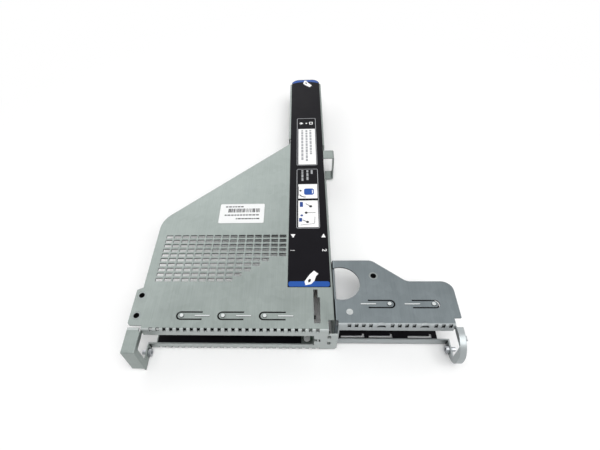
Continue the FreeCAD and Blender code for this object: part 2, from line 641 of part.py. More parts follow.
        tools.append(rod(f"tab_hole_{name}", ("board_face", f"{y} + tab_width / 2", "screw_z"), "X",
                         "screw_shank + fit", "gauge"))
    for name, z in (("upper", "window_high - tongue_height"), ("lower", "window_low + gauge")):
        tools.append(block(f"junction_hole_{name}", ("wall_notch - gauge / 2", "0", z),
                           ("perf_width", "gauge", "tongue_height")))
    for name, y in (("near", "ear_nut_near"), ("far", "ear_nut_far")):
        tools.append(rod(f"ear_hole_{name}", (nut_x, y, under), "Z", "nut_shank + fit", "gauge"))
    for name, y in (("near", "flange_break + stop_relief"), ("far", "flange_resume - stop_relief")):
        tools.append(rod(f"relief_{name}", (flat, y, under), "Z", "stop_relief", "gauge"))
    return opened("main_cage", body, tools)


def low_profile_bay():
    """Right plate, its flange, slot 2's rear wall, its shelf and the right guard: one folded sheet."""
    body = new_body("bay_sheet")
    left = f"({BAY_LEFT})"
    wall_left = f"({BAY_LEFT} + bend + gauge + fold_room / 8)"
    under = "height - gauge"
    plate(body, "plate", [
        (wall_left, "wall_step"), (wall_left, "flange_start"), (left, "flange_start"), (left, "bay_far"),
        ("bay_slant_far", "bay_far"), ("bay_slant_near", "bay_mid"), (BAY_RIGHT, "bay_mid"),
        (BAY_RIGHT, "bay_step"), (SEAT_TWO, "bay_step"), (SEAT_TWO, "wall_step"),
    ], under, "gauge")
    rounded(body, "plate_corners", "bay_round", ("Z", {"x": "bay_slant_far", "y": "bay_far"}),
            ("Z", {"x": "bay_slant_near", "y": "bay_mid"}), ("Z", {"x": BAY_RIGHT, "y": "bay_mid"}))
    rounded(body, "plate_step", "bend", ("Z", {"x": BAY_RIGHT, "y": "bay_step"}))

    # rear wall, shelf and flange
    box(body, "Additive", "wall", (wall_left, "wall_step", "0"),
        (f"{FILM_END} - {wall_left}", "gauge", "height"))
    box(body, "Additive", "wall_right_end", (FILM_END, "wall_step", "ledge_low"),
        ("film_two_right", "gauge", "height - ledge_low"))
    box(body, "Additive", "shelf", (wall_left, "wall_step", "0"),
        (f"{FILM_END} - {wall_left}", "shelf_depth", "gauge"))
    box(body, "Additive", "flange", (left, "flange_start", "bay_foot"),
        ("gauge", "bay_far - flange_start", "height - bay_foot"))
    bevelled(body, "top_fold", "fold_bevel", ("X", {"y": "wall_step", "z": "height"}))
    bevelled(body, "shelf_fold", "fold_bevel", ("X", {"y": "wall_step", "z": "0"}))
    fold(body, "flange_fold", "Y", {"x": left, "z": "height"}, {"x": f"{left} + gauge", "z": under})

    # right guard: a framed wall with a rim folded outwards round its upper and rear edges
    reach = "-hook_reach"
    thick = "gauge + hook_width"
    box(body, "Additive", "hook", (SEAT_TWO, reach, "ledge_low"),
        (thick, "hook_reach + wall_step + gauge", "height - ledge_low - fold_room"))
    box(body, "Additive", "hook_top", (SEAT_TWO, reach, "height - fold_room"),
        (thick, "hook_reach + wall_step - guard_relief", "fold_room"))
    box(body, "Subtractive", "hook_hollow", (f"{SEAT_TWO} + gauge", f"{reach} + gauge", "ledge_low + gauge"),
        ("hook_width", "hook_reach + wall_step", "height - ledge_low - 2 * gauge"))
    rounded(body, "hook_inner_round", "hook_round - gauge",
            ("X", {"y": f"{reach} + gauge", "z": under}),
            ("X", {"y": f"{reach} + gauge", "z": "ledge_low + gauge"}))
    rounded(body, "hook_outer_round", "hook_round", ("X", {"y": reach, "z": "height"}),
            ("X", {"y": reach, "z": "ledge_low"}))
    box(body, "Subtractive", "hook_open_foot", (f"{SEAT_TWO} + gauge", f"{reach} + hook_foot", "0"),
        ("hook_width", "hook_reach + wall_step", "window_low"))
    box(body, "Additive", "hook_lug", (f"{SEAT_TWO} + {thick}", "hook_lug_y", f"{under} - gauge / 2"),
        (f"bay_right - ({thick})", "hook_lug", "gauge"))
    for index, place in enumerate(ARCHES):
        middle = f"perf_two + {place} * perf_pitch"
        low = "height - perf_wall_two"
        cylinder(body, "Additive", f"arch_{index}", (middle, "wall_step", low), "Y", "arch_radius",
                 "arch_depth")
        box(body, "Subtractive", f"arch_foot_{index}",
            (f"{middle} - arch_radius", "wall_step + gauge", f"{low} - arch_radius"),
            ("2 * arch_radius", "arch_depth", "arch_radius"))
    finger_marks(body, "finger", "finger_two", -1, "finger_two_y", "finger_pitch_two", FINGERS_TWO)

    # openings
    tools = [
        block("hook_window", (SEAT_TWO, f"{reach} + guard_frame + gauge", "window_low"),
              ("gauge", "hook_reach - guard_frame + wall_step", "height - guard_frame - window_low")),
        rod("ledge_hole_two", (SEAT_TWO, "wall_step - bracket_y", "bracket_z"), "X",
            "bracket_shank + fit", "gauge"),
        block("window_two_cut", (WINDOW_TWO, "wall_step", "window_low"),
              (f"{SEAT_TWO} - {WINDOW_TWO}", "gauge", "window_high - window_low")),
        rod("finger_hole_cut", ("finger_hole_x", "finger_hole_y", under), "Z", "finger_hole", "gauge"),
        rod("nut_hole", ("bay_nut_x", "bay_nut_y", under), "Z", "nut_shank + fit", "gauge"),
        rod("stud_hole", ("stud_x", "stud_y", under), "Z", "stud_head + fit", "gauge"),
        finger_slots("finger_slots_two", "finger_two", -1, "finger_two_y", "finger_pitch_two", FINGERS_TWO),
    ]
    for first, count in PERF_GROUPS_TWO:
        tools.append(fold_holes(f"top_holes_two_{first}", f"perf_two + {first} * perf_pitch", "wall_step",
                                "height", count, "perf_plate_two", "perf_wall_two"))
    tools += [arch_hole(f"arch_hole_{index}", place) for index, place in enumerate(ARCHES)]
    tools += shelf_slits("slit", "0", "gauge")
    return opened("low_profile_bay", body, tools)


def riser_board():
    """The upright circuit board, its plug tongue below, with a key notch between two stretches."""
    body = new_body("riser_board")
    left = "board_face - board"
    tongue = "plug_short + plug_key + plug_long"
    box(body, "Additive", "panel", (left, "board_near", "board_edge"),
        ("board", f"{BOARD_FAR} - board_near", "height - board_drop - board_edge"))
    box(body, "Additive", "tongue", (left, "plug_near", "0"), ("board", tongue, "board_edge"))
    box(body, "Subtractive", "key_notch", (left, "plug_near + plug_short", "0"),
        ("board", "plug_key", "key_depth"))
    for name, y in (("near", "tab_near"), ("far", TAB_FAR)):
        cylinder(body, "Subtractive", f"screw_hole_{name}", (left, f"{y} + tab_width / 2", "screw_z"), "X",
                 "screw_shank + fit", "board")
    return body


def card_connector():
    """The card's socket: a block with a slot that widens behind its mouth, bridged by a key."""
    body = new_body("card_connector")
    back = "board_face - board"
    face = f"{back} - socket_depth"
    z = "socket_low + socket_width / 2"
    start = "socket_near + socket_wall"
    length = f"{SOCKET} - 2 * socket_wall"
    box(body, "Additive", "block", (face, "socket_near", "socket_low"),
        ("socket_depth", SOCKET, "socket_width"))
    box(body, "Subtractive", "mouth", (face, start, f"{z} - card_gap / 2"), ("card_lip", length, "card_gap"))
    box(body, "Subtractive", "room", (f"{face} + card_lip", start, f"{z} - card_room / 2"),
        ("card_depth - card_lip", length, "card_room"))
    box(body, "Additive", "key", (face, f"{start} + plug_short", f"{z} - card_room / 2"),
        ("card_depth", "plug_key", "card_room"))
    return body


def rows_of_blocks(name, first, size, steps):
    """A group of equal blocks, copied along one or more steps of a vector and a count."""
    corner = FreeCAD.Vector(*[number(text) for text in first])
    sides = [number(text) for text in size]
    corners = [corner]
    for step, count in steps:
        move = FreeCAD.Vector(*[number(text) for text in step])
        corners = [start + move * index for index in range(count) for start in corners]
    group = doc.addObject("Part::Feature", name)
    group.Label = name
    group.Shape = Part.makeCompound([Part.makeBox(*sides, start) for start in corners])
    return group


def contact_count(length, pitch, width):
    """How many contacts of a width fit along a length."""
    return int((number(length) - number(width)) / number(pitch))


def edge_contacts():
    """Gold contacts on both faces of the plug tongue, clear of its key notch."""
    groups = []
    left = "board_face - board - pad_thick"
    for stretch, start in (("plug_short", "plug_near"),
                           ("plug_long", "plug_near + plug_short + plug_key")):
        count = contact_count(stretch, "contact_pitch", "pad_width")
        spare = f"({stretch} - {count - 1} * contact_pitch - pad_width) / 2"
        part = rows_of_blocks(f"pads_{stretch}", (left, f"{start} + {spare}", "pad_inset"),
                              ("pad_thick", "pad_width", "pad_length"),
                              ((("board + pad_thick", "0", "0"), 2), (("0", "contact_pitch", "0"), count)))
        groups.append(part)
    return joined("edge_contacts", groups)


def connector_contacts():
    """Contact springs along both walls of the card's slot, clear of its key."""
    groups = []
    left = "board_face - board - socket_depth + card_lip + gauge / 2"
    low = "socket_low + (socket_width - card_room) / 2"
    start = "socket_near + socket_wall"
    for stretch, near in (("plug_short", start), ("plug_long", f"{start} + plug_short + plug_key")):
        count = contact_count(stretch, "contact_pitch", "spring_width")
        spare = f"({stretch} - {count - 1} * contact_pitch - spring_width) / 2"
        part = rows_of_blocks(f"springs_{stretch}", (left, f"{near} + {spare}", low),
                              ("spring_length", "spring_width", "spring_thick"),
                              ((("0", "0", "card_room - spring_thick"), 2),
                               (("0", "contact_pitch", "0"), count)))
        groups.append(part)
    return joined("connector_contacts", groups)


def joined(name, groups):
    """One named group made of several."""
    whole = doc.addObject("Part::Compound", name)
    whole.Label = name
    whole.Links = groups
    return whole


def connector_tails():
    """Solder tails of the connector, standing out of the board's other face."""
    count = contact_count(f"{SOCKET} - 2 * socket_wall", "tail_pitch", "tail_size")
    z = "socket_low + (socket_width - tail_row - tail_size) / 2"
    return rows_of_blocks("connector_tails", ("board_face", "socket_near + socket_wall", z),
                          ("tail_length", "tail_size", "tail_size"),
                          ((("0", "0", "tail_row"), 2), (("0", "tail_pitch", "0"), count)))


def board_capacitors():
    """Supply capacitors in a row on the board, above the connector."""
    return rows_of_blocks("board_capacitors", ("board_face - board - cap_height", "cap_first", "cap_z"),
                          ("cap_height", "cap_length", "cap_width"),
                          ((("0", "cap_pitch", "0"), CAPACITORS),))


def headed_screw(name, head_x, y, z, side, head, head_height, shank, length):
    """A pan-head screw along x: head_x is the head's seat, side the way that its head faces."""
    body = new_body(name)
    head_left = head_x if side > 0 else f"{head_x} - {head_height}"
    shank_left = f"{head_x} - ({length})" if side > 0 else head_x
    recess_left = f"{head_x} + {head_height} - recess_depth" if side > 0 else f"{head_x} - {head_height}"
    cylinder(body, "Additive", "head", (head_left, y, z), "X", head, head_height)
    cylinder(body, "Additive", "shank", (shank_left, y, z), "X", shank, length)
    recess = body.newObject("PartDesign::SubtractivePrism", "recess")
    recess.Placement = FreeCAD.Placement(FreeCAD.Vector(), TURNS["X"])
    recess.Polygon = 6
    recess.setExpression("Circumradius", bound("recess_radius"))
    recess.setExpression("Height", bound("recess_depth"))
    for direction, text in zip("xyz", (recess_left, y, z)):
        recess.setExpression(f"Placement.Base.{direction}", bound(text))
    body.Tip = recess
    return body


def board_screws():
    """Two screws that hold the board against its tabs."""
    pair = [headed_screw(f"board_screw_{name}", "board_face - board", f"{y} + tab_width / 2", "screw_z", -1,
                         "screw_head", "screw_head_height", "screw_shank", "board + gauge + screw_tip")
            for name, y in (("near", "tab_near"), ("far", TAB_FAR))]
    return joined("board_screws", pair)


def bracket_screws():
    """The two screws that hold a card's bracket, each left in its ledge."""
    length = "gauge + bracket_tip"
    one = headed_screw("slot_1_bracket_screw", SEAT_ONE, "-bracket_y", "bracket_z", 1,
                       "bracket_head", "bracket_head_height", "bracket_shank", length)
    two = headed_screw("slot_2_bracket_screw", SEAT_TWO, "wall_step - bracket_y", "bracket_z", -1,
                       "bracket_head", "bracket_head_height", "bracket_shank", length)
    return one, two


def clinch_nut(name, x, y):
    """A blind nut pressed into the sheet from below, flush with its upper face."""
    body = new_body(name)
    low = "height - gauge - nut_body_height"
    hexagon = body.newObject("PartDesign::AdditivePrism", "hexagon")
    hexagon.Polygon = 6
    hexagon.setExpression("Circumradius", bound("nut_body"))
    hexagon.setExpression("Height", bound("nut_body_height"))
    for direction, text in zip("xyz", (x, y, low)):
        hexagon.setExpression(f"Placement.Base.{direction}", bound(text))
    cylinder(body, "Additive", "shank", (x, y, "height - gauge"), "Z", "nut_shank", "gauge")
    cylinder(body, "Subtractive", "thread", (x, y, "height - nut_depth"), "Z", "nut_bore", "nut_depth")
    return body


def ear_clinch_nuts():
    body = clinch_nut("ear_clinch_nuts", f"{PLATE_LEFT} - ear_reach + ear_nut_inset", "ear_nut_near")
    parts = [item for item in body.Group if item.TypeId != "App::Origin"]
    pattern(body, "pair", parts, ("Y", "ear_nut_far - ear_nut_near", 2))
    return body


def shelf_rivet():
    """A flat-headed rivet on slot 1's shelf, beside its film."""
    body = new_body("shelf_rivet")
    cylinder(body, "Additive", "shank", ("shelf_rivet_x", "shelf_rivet_y", "0"), "Z", "rivet_shank", "gauge")
    cylinder(body, "Additive", "head", ("shelf_rivet_x", "shelf_rivet_y", "gauge"), "Z", "rivet_head",
             "rivet_head_height")
    return body


def bay_stud():
    """A flush-headed stud pressed into the bay's plate."""
    body = new_body("bay_stud")
    cylinder(body, "Additive", "head", ("stud_x", "stud_y", "height - gauge"), "Z", "stud_head", "gauge")
    cylinder(body, "Additive", "shank", ("stud_x", "stud_y", "height - gauge - stud_length"), "Z",
             "stud_shank", "stud_length")
    return body


def slot_films():
    """Black insulating films on the two shelves."""
    one = new_body("slot_1_film")
    deep = "shelf_depth - film_inset"
    box(one, "Additive", "film", (f"{SHELF_LEFT} + film_one_left", "film_inset", "gauge"),
        (f"-film_one_right - {SHELF_LEFT} - film_one_left", deep, "film"))
    sheet_two = block("film_sheet_two", ("film_two_left", "wall_step + film_inset", "gauge"),
                      (f"{FILM_END} - film_two_left", deep, "film"))
    return one, opened("slot_2_film", sheet_two, shelf_slits("film_slit", "gauge", "film"))


def touch_label():
    """The dark label along the bar, with a rounded far end."""
    body = new_body("touch_label")
    half = "(bar_width / 2 - label_side)"
    far = "bar_end - label_margin"
    plate(body, "film", [(half, "label_near"), (half, far), (f"-{half}", far), (f"-{half}", "label_near")],
          "height", "label")
    rounded(body, "far_corners", "label_round", ("Z", {"x": half, "y": far}),
            ("Z", {"x": f"-{half}", "y": far}))
    return body


def part_sticker():
    """The white sticker on the left plate."""
    body = new_body("part_sticker")
    right = "sticker_x + sticker_width"
    far = "sticker_y + sticker_length"
    corners = [(right, "sticker_y"), (right, far), ("sticker_x", far), ("sticker_x", "sticker_y")]
    plate(body, "film", corners, "height", "sticker")
    return body


pieces = [
    main_cage(), low_profile_bay(), riser_board(), card_connector(), edge_contacts(),
    connector_contacts(), connector_tails(), board_capacitors(), board_screws(), *bracket_screws(),
    ear_clinch_nuts(), clinch_nut("bay_clinch_nut", "bay_nut_x", "bay_nut_y"), shelf_rivet(),
    bay_stud(), *slot_films(), touch_label(), part_sticker(),
]
for piece in pieces[2:]:
    seat(piece)
doc.recompute()

for item in doc.Objects:
    if {"Invalid", "Error"} & set(item.State):
        raise RuntimeError(f"{item.Name} failed: {item.State}")
for piece in pieces:
    if piece.Shape.isNull() or not piece.Shape.isValid():
        raise RuntimeError(f"{piece.Label} has no valid shape")

os.makedirs("parts", exist_ok=True)
for piece in pieces:
    piece.Shape.exportStep(f"parts/{piece.Label}.step")
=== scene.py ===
import math

import bpy
import numpy as np
from mathutils import Matrix, Vector


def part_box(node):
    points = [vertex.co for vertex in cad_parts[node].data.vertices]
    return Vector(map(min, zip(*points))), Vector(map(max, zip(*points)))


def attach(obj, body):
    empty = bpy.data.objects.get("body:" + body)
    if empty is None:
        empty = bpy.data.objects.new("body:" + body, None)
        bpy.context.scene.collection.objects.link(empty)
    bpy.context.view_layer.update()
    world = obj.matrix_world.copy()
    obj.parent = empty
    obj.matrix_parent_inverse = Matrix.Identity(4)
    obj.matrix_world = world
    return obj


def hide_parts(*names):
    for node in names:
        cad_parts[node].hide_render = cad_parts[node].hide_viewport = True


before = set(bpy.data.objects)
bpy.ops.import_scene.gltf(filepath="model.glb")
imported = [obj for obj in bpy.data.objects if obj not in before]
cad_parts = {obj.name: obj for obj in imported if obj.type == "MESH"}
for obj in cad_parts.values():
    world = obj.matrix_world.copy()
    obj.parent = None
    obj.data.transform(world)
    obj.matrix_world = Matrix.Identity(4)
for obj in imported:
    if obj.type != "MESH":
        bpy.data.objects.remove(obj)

bl_info = {
    "name": "Riser card looks",
    "version": (1, 1, 0),
    "blender": (4, 5, 0),
    "location": "View3D > Sidebar > Riser",
    "description": "Dresses a server riser assembly: galvanised sheet, board, label and fasteners",
    "category": "Object",
}

MM = 0.001


def span(name):
    """Lowest and highest corner of a CAD node, in millimetres."""
    return [np.array(corner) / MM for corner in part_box(name)]


def linear(code):
    """Linear colour of an sRGB hex code."""
    channels = [int(code[i:i + 2], 16) / 255 for i in (1, 3, 5)]
    return tuple(c / 12.92 if c <= 0.04045 else ((c + 0.055) / 1.055) ** 2.4 for c in channels) + (1.0,)


# Places that the CAD nodes give, in millimetres
LABEL_LOW, LABEL_HIGH = span("touch_label")
STICKER_LOW, STICKER_HIGH = span("part_sticker")
BOARD_LOW, BOARD_HIGH = span("riser_board")
PAD_LOW, PAD_HIGH = span("edge_contacts")
SPRING_LOW, SPRING_HIGH = span("connector_contacts")
TAIL_LOW, TAIL_HIGH = span("connector_tails")
CAPACITOR_LOW = span("board_capacitors")[0]
TOP = STICKER_LOW[2]
# the plan is measured from the bar's middle and from the first rear wall, which the bar's far end fixes
BAR_LENGTH = 313.5
BAR_X = (LABEL_LOW[0] + LABEL_HIGH[0]) / 2
WALL_Y = span("main_cage")[1][1] - BAR_LENGTH
PLAN = np.array([BAR_X, WALL_Y])


# Materials

def add(tree, kind, links=(), values=(), stops=(), **settings):
    """Adds a shader node: its settings, its inputs' values, what feeds them, and a ramp's stops."""
    made = tree.nodes.new(kind)
    for name, value in settings.items():
        setattr(made, name, value)
    for name, value in dict(values).items():
        made.inputs[name].default_value = value
    for name, socket in dict(links).items():
        tree.links.new(socket, made.inputs[name])
    for index, (position, colour) in enumerate(stops):
        elements = made.color_ramp.elements
        element = elements[index] if index < len(elements) else elements.new(position)
        element.position = position
        element.color = colour
    return made


def new_material(name, **values):
    """A material, its nodes, its shader with some inputs set, and Object coordinates in millimetres."""
    material = bpy.data.materials.new(name)
    material.use_nodes = True
    tree = material.node_tree
    shader = tree.nodes["Principled BSDF"]
    for key, value in values.items():
        shader.inputs[key.replace("_", " ")].default_value = value
    place = add(tree, "ShaderNodeTexCoord")
    where = add(tree, "ShaderNodeMapping", {"Vector": place.outputs["Object"]}, {"Scale": (1 / MM,) * 3})
    return material, tree, shader, where.outputs["Vector"]


def shade(colour, share):
    """A colour with its channels times a share, at most white."""
    return tuple(min(1.0, c * share) for c in colour[:3]) + (1.0,)


def grey(value):
    """A grey of equal channels."""
    return (value, value, value, 1.0)


# zinc crystals are about 5 mm across, rolling streaks 0.6 mm wide and 25 mm long, stains 30 mm; each has
# its share in the zinc's tone, and the tone goes from dark to light between two values
CRYSTAL = 5.0
CRYSTAL_SHARE = 0.14
STREAK_WIDTH = 0.6
STREAK_LENGTH = 25.0
STREAK_SHARE = 0.36
STAIN = 30.0
STAIN_SHARE = 0.5
TONE_DARK = 0.28
TONE_LIGHT = 0.72
# the fine grain of the coat, drawn coarser than it is so that it shows, and its relief
COAT_GRAIN = 0.8
COAT_RELIEF = 0.2
# edges look rounded by a radius, and faces this near to each other get painted shade
EDGE_ROUND = 0.3
SHADE_REACH = 1.6
# a face is level where its normal rises more than this, and upright where it rises less
LEVEL_RISE = 0.5
# how far over the plate a mark counts as raised, and how near the wall the bent arches end
RAISED = 0.03
ARCH_END = 8.0
# how far the zinc of a folded wall goes towards the painted highlight of the raised marks
WALL_HIGHLIGHT = 0.45
# the vents' field on the plan, whose upright faces get painted shade, and the sheet's thickness
VENTS_NEAR = 39.0
VENTS_FAR = 87.4
GAUGE = 1.0


def zinc_tone(tree, where):
    """Dark and light of the zinc: crystals, rolling streaks and stains, each times its share, added up."""
    crystals = add(tree, "ShaderNodeTexVoronoi", {"Vector": where}, {"Scale": 1 / CRYSTAL})
    drawn = add(tree, "ShaderNodeMapping", {"Vector": where},
                {"Scale": (1 / STREAK_WIDTH, 1 / STREAK_LENGTH, 1 / STREAK_WIDTH)})
    streaks = add(tree, "ShaderNodeTexNoise", {"Vector": drawn.outputs[0]}, {"Scale": 1.0, "Detail": 4.0})
    stains = add(tree, "ShaderNodeTexNoise", {"Vector": where}, {"Scale": 1 / STAIN, "Detail": 4.0})
    first = add(tree, "ShaderNodeMath", {0: crystals.outputs["Color"]}, {1: CRYSTAL_SHARE, 2: 0.0},
                operation="MULTIPLY_ADD")
    second = add(tree, "ShaderNodeMath", {0: streaks.outputs["Fac"], 2: first.outputs[0]},
                 {1: STREAK_SHARE}, operation="MULTIPLY_ADD")
    return add(tree, "ShaderNodeMath", {0: stains.outputs["Fac"], 2: second.outputs[0]}, {1: STAIN_SHARE},
               operation="MULTIPLY_ADD").outputs[0]


def painted_highlight_places(tree, axes, folded):
    """One where a highlight is painted on raised marks away from the folds, plus a share of it on the rear
    wall and its fold.
    """
    high = add(tree, "ShaderNodeMath", {0: axes["Z"]}, {1: TOP + RAISED}, operation="GREATER_THAN")
    away = add(tree, "ShaderNodeMath", {0: axes["Y"]}, {1: WALL_Y + ARCH_END}, operation="GREATER_THAN")
    mark = add(tree, "ShaderNodeMath", {0: high.outputs[0], 1: away.outputs[0]}, operation="MULTIPLY")
    behind = add(tree, "ShaderNodeMath", {0: axes["Y"]}, {1: WALL_Y + folded[0]}, operation="GREATER_THAN")
    before = add(tree, "ShaderNodeMath", {0: axes["Y"]}, {1: WALL_Y + folded[1]}, operation="LESS_THAN")
    wall = add(tree, "ShaderNodeMath", {0: behind.outputs[0], 1: before.outputs[0]}, operation="MULTIPLY")
    return add(tree, "ShaderNodeMath", {0: wall.outputs[0], 2: mark.outputs[0]}, {1: WALL_HIGHLIGHT},
               operation="MULTIPLY_ADD").outputs[0]


def unshaded_share(tree, axes):
    """One where no shade is painted, and nought where it is: in narrow cuts and on the upright faces of the
    vents.
    """
    facing = add(tree, "ShaderNodeSeparateXYZ", {0: add(tree, "ShaderNodeTexCoord").outputs["Normal"]})
    slope = add(tree, "ShaderNodeMath", {0: facing.outputs["Z"]}, operation="ABSOLUTE")
    upright = add(tree, "ShaderNodeMath", {0: slope.outputs[0]}, {1: LEVEL_RISE}, operation="LESS_THAN")
    level = add(tree, "ShaderNodeMath", {0: axes["Z"]}, {1: TOP - GAUGE / 2, 2: GAUGE / 2},
                operation="COMPARE")
    field = add(tree, "ShaderNodeMath", {0: axes["Y"]},
                {1: WALL_Y + (VENTS_NEAR + VENTS_FAR) / 2, 2: (VENTS_FAR - VENTS_NEAR) / 2 + RAISED},
                operation="COMPARE")
    edge = add(tree, "ShaderNodeMath", {0: upright.outputs[0], 1: level.outputs[0]}, operation="MULTIPLY")
    vent = add(tree, "ShaderNodeMath", {0: edge.outputs[0], 1: field.outputs[0]}, operation="MULTIPLY")
    # painted shade: ambient occlusion darkens faces that lie near other faces
    closeness = add(tree, "ShaderNodeAmbientOcclusion", (), {"Distance": SHADE_REACH * MM}, samples=8)
    occlusion_shade = add(tree, "ShaderNodeValToRGB", {"Fac": closeness.outputs["AO"]},
                stops=[(0.55, grey(0.0)), (0.9, grey(1.0))])
    return add(tree, "ShaderNodeMath", {0: occlusion_shade.outputs["Color"], 1: vent.outputs[0]},
               operation="SUBTRACT", use_clamp=True).outputs[0]


def galvanised(name, dark, light, painted_highlight, cut, rough, folded):
    """Hot-dip galvanised sheet, rolled and folded.

    A satin grey metal with faint crystals and streaks, a painted highlight on raised marks and on the folded
    walls, and painted shade in narrow cuts and on the vents' upright faces. folded gives where the rear wall
    and its fold start and end along the bar."""
    material, tree, shader, where = new_material(name, Metallic=0.85)
    axes = add(tree, "ShaderNodeSeparateXYZ", {0: where}).outputs
    tone = zinc_tone(tree, where)
    zinc = add(tree, "ShaderNodeValToRGB", {"Fac": tone}, stops=[(TONE_DARK, dark), (TONE_LIGHT, light)])
    # painted highlight: raised marks and folded walls turn pale
    highlighted = add(tree, "ShaderNodeMix", {0: painted_highlight_places(tree, axes, folded), 6: zinc.outputs["Color"]},
                 {7: painted_highlight}, data_type="RGBA")
    # painted shade over the zinc in narrow cuts and on the vents' walls
    coat = add(tree, "ShaderNodeMix", {0: unshaded_share(tree, axes), 7: highlighted.outputs[2]}, {6: cut},
               data_type="RGBA")
    tree.links.new(coat.outputs[2], shader.inputs["Base Color"])
    gloss = add(tree, "ShaderNodeValToRGB", {"Fac": tone},
                stops=[(TONE_DARK, grey(rough - 0.05)), (TONE_LIGHT, grey(rough + 0.06))])
    tree.links.new(gloss.outputs["Color"], shader.inputs["Roughness"])
    grain = add(tree, "ShaderNodeTexNoise", {"Vector": where}, {"Scale": 1 / COAT_GRAIN, "Detail": 5.0})
    soft = add(tree, "ShaderNodeBevel", (), {"Radius": EDGE_ROUND * MM}, samples=4)
    bump = add(tree, "ShaderNodeBump", {"Height": grain.outputs["Fac"], "Normal": soft.outputs[0]},
               {"Strength": 0.05, "Distance": COAT_RELIEF * MM})
    tree.links.new(bump.outputs[0], shader.inputs["Normal"])
    return material


# tarnish comes in clouds of about 1.5 mm
TARNISH = 1.5


def plated(name, colour, rough, metallic=1.0):
    """Plated or oxidised metal: an even sheen, duller in tarnished clouds, and paler where less metallic."""
    material, tree, shader, where = new_material(name, Metallic=metallic)
    cloud = add(tree, "ShaderNodeTexNoise", {"Vector": where}, {"Scale": 1 / TARNISH, "Detail": 5.0})
    tint = add(tree, "ShaderNodeValToRGB", {"Fac": cloud.outputs["Fac"]},
               stops=[(0.3, shade(colour, 0.8)), (0.7, colour)])
    gloss = add(tree, "ShaderNodeValToRGB", {"Fac": cloud.outputs["Fac"]},
                stops=[(0.3, grey(rough + 0.1)), (0.7, grey(rough))])
    tree.links.new(tint.outputs["Color"], shader.inputs["Base Color"])
    tree.links.new(gloss.outputs["Color"], shader.inputs["Roughness"])
    return material


def clinch_nut(name, face, bore, rough):
    """A plated nut with shade painted into its blind bore: the rim lies level with the plate and keeps the
    plating, while all else, lower or upright, takes the painted shade.
    """
    material, tree, shader, where = new_material(name, Roughness=rough)
    height = add(tree, "ShaderNodeSeparateXYZ", {0: where}).outputs["Z"]
    rim = add(tree, "ShaderNodeMath", {0: height}, {1: TOP - RAISED}, operation="GREATER_THAN")
    facing = add(tree, "ShaderNodeSeparateXYZ", {0: add(tree, "ShaderNodeTexCoord").outputs["Normal"]})
    level = add(tree, "ShaderNodeMath", {0: facing.outputs["Z"]}, {1: LEVEL_RISE}, operation="GREATER_THAN")
    shown = add(tree, "ShaderNodeMath", {0: rim.outputs[0], 1: level.outputs[0]}, operation="MULTIPLY")
    # painted shade on all but the level rim
    tint = add(tree, "ShaderNodeMix", {0: shown.outputs[0]}, {6: bore, 7: face}, data_type="RGBA")
    tree.links.new(tint.outputs[2], shader.inputs["Base Color"])
    tree.links.new(shown.outputs[0], shader.inputs["Metallic"])
    return material


# moulded plastic and film have a grain of about 0.3 mm, with its relief, and clouds of 12 mm
FILM_GRAIN = 0.3
FILM_RELIEF = 0.05
FILM_CLOUD = 12.0


def plastic(name, colour, rough, shine=0.5, grain=0.08, lift=1.3):
    """Moulded nylon, polyester film or printing ink: an even colour with a fine satin grain."""
    material, tree, shader, where = new_material(name, Specular_IOR_Level=shine)
    cloud = add(tree, "ShaderNodeTexNoise", {"Vector": where}, {"Scale": 1 / FILM_CLOUD, "Detail": 4.0})
    tint = add(tree, "ShaderNodeValToRGB", {"Fac": cloud.outputs["Fac"]},
               stops=[(0.35, colour), (0.7, shade(colour, lift))])
    gloss = add(tree, "ShaderNodeValToRGB", {"Fac": cloud.outputs["Fac"]},
                stops=[(0.35, grey(rough - 0.05)), (0.7, grey(rough + 0.07))])
    fine = add(tree, "ShaderNodeTexNoise", {"Vector": where}, {"Scale": 1 / FILM_GRAIN, "Detail": 3.0})
    bump = add(tree, "ShaderNodeBump", {"Height": fine.outputs["Fac"]},
               {"Strength": grain, "Distance": FILM_RELIEF * MM})
    tree.links.new(tint.outputs["Color"], shader.inputs["Base Color"])
    tree.links.new(gloss.outputs["Color"], shader.inputs["Roughness"])
    tree.links.new(bump.outputs[0], shader.inputs["Normal"])
    return material


# copper traces under the mask run along the board, about 0.94 mm apart, and lift it a little; the wave
# texture turns by 20 radians in a unit at scale 1
TRACE_PITCH = 0.942
TRACE_RELIEF = 0.04
WAVE_TURN = 20.0


def solder_mask(name, mask, trace):
    """Epoxy board under green solder mask: glossy, with lighter traces that run along it."""
    material, tree, shader, where = new_material(name, Roughness=0.34)
    lines = add(tree, "ShaderNodeTexWave", {"Vector": where},
                {"Scale": math.tau / WAVE_TURN / TRACE_PITCH, "Distortion": 1.5, "Detail": 1.0,
                 "Detail Scale": 0.15}, wave_type="BANDS", bands_direction="Z")
    tint = add(tree, "ShaderNodeValToRGB", {"Fac": lines.outputs["Fac"]}, stops=[(0.45, mask), (0.6, trace)])
    bump = add(tree, "ShaderNodeBump", {"Height": lines.outputs["Fac"]},
               {"Strength": 0.2, "Distance": TRACE_RELIEF * MM})
    tree.links.new(tint.outputs["Color"], shader.inputs["Base Color"])
    tree.links.new(bump.outputs[0], shader.inputs["Normal"])
    return material


# the capacitors stand every 16 mm and are 3.5 mm long, with a tinned cap of 0.7 mm at each end
CAPACITOR_PITCH = 16.0
CAPACITOR_LENGTH = 3.5
CAPACITOR_CAP = 0.7


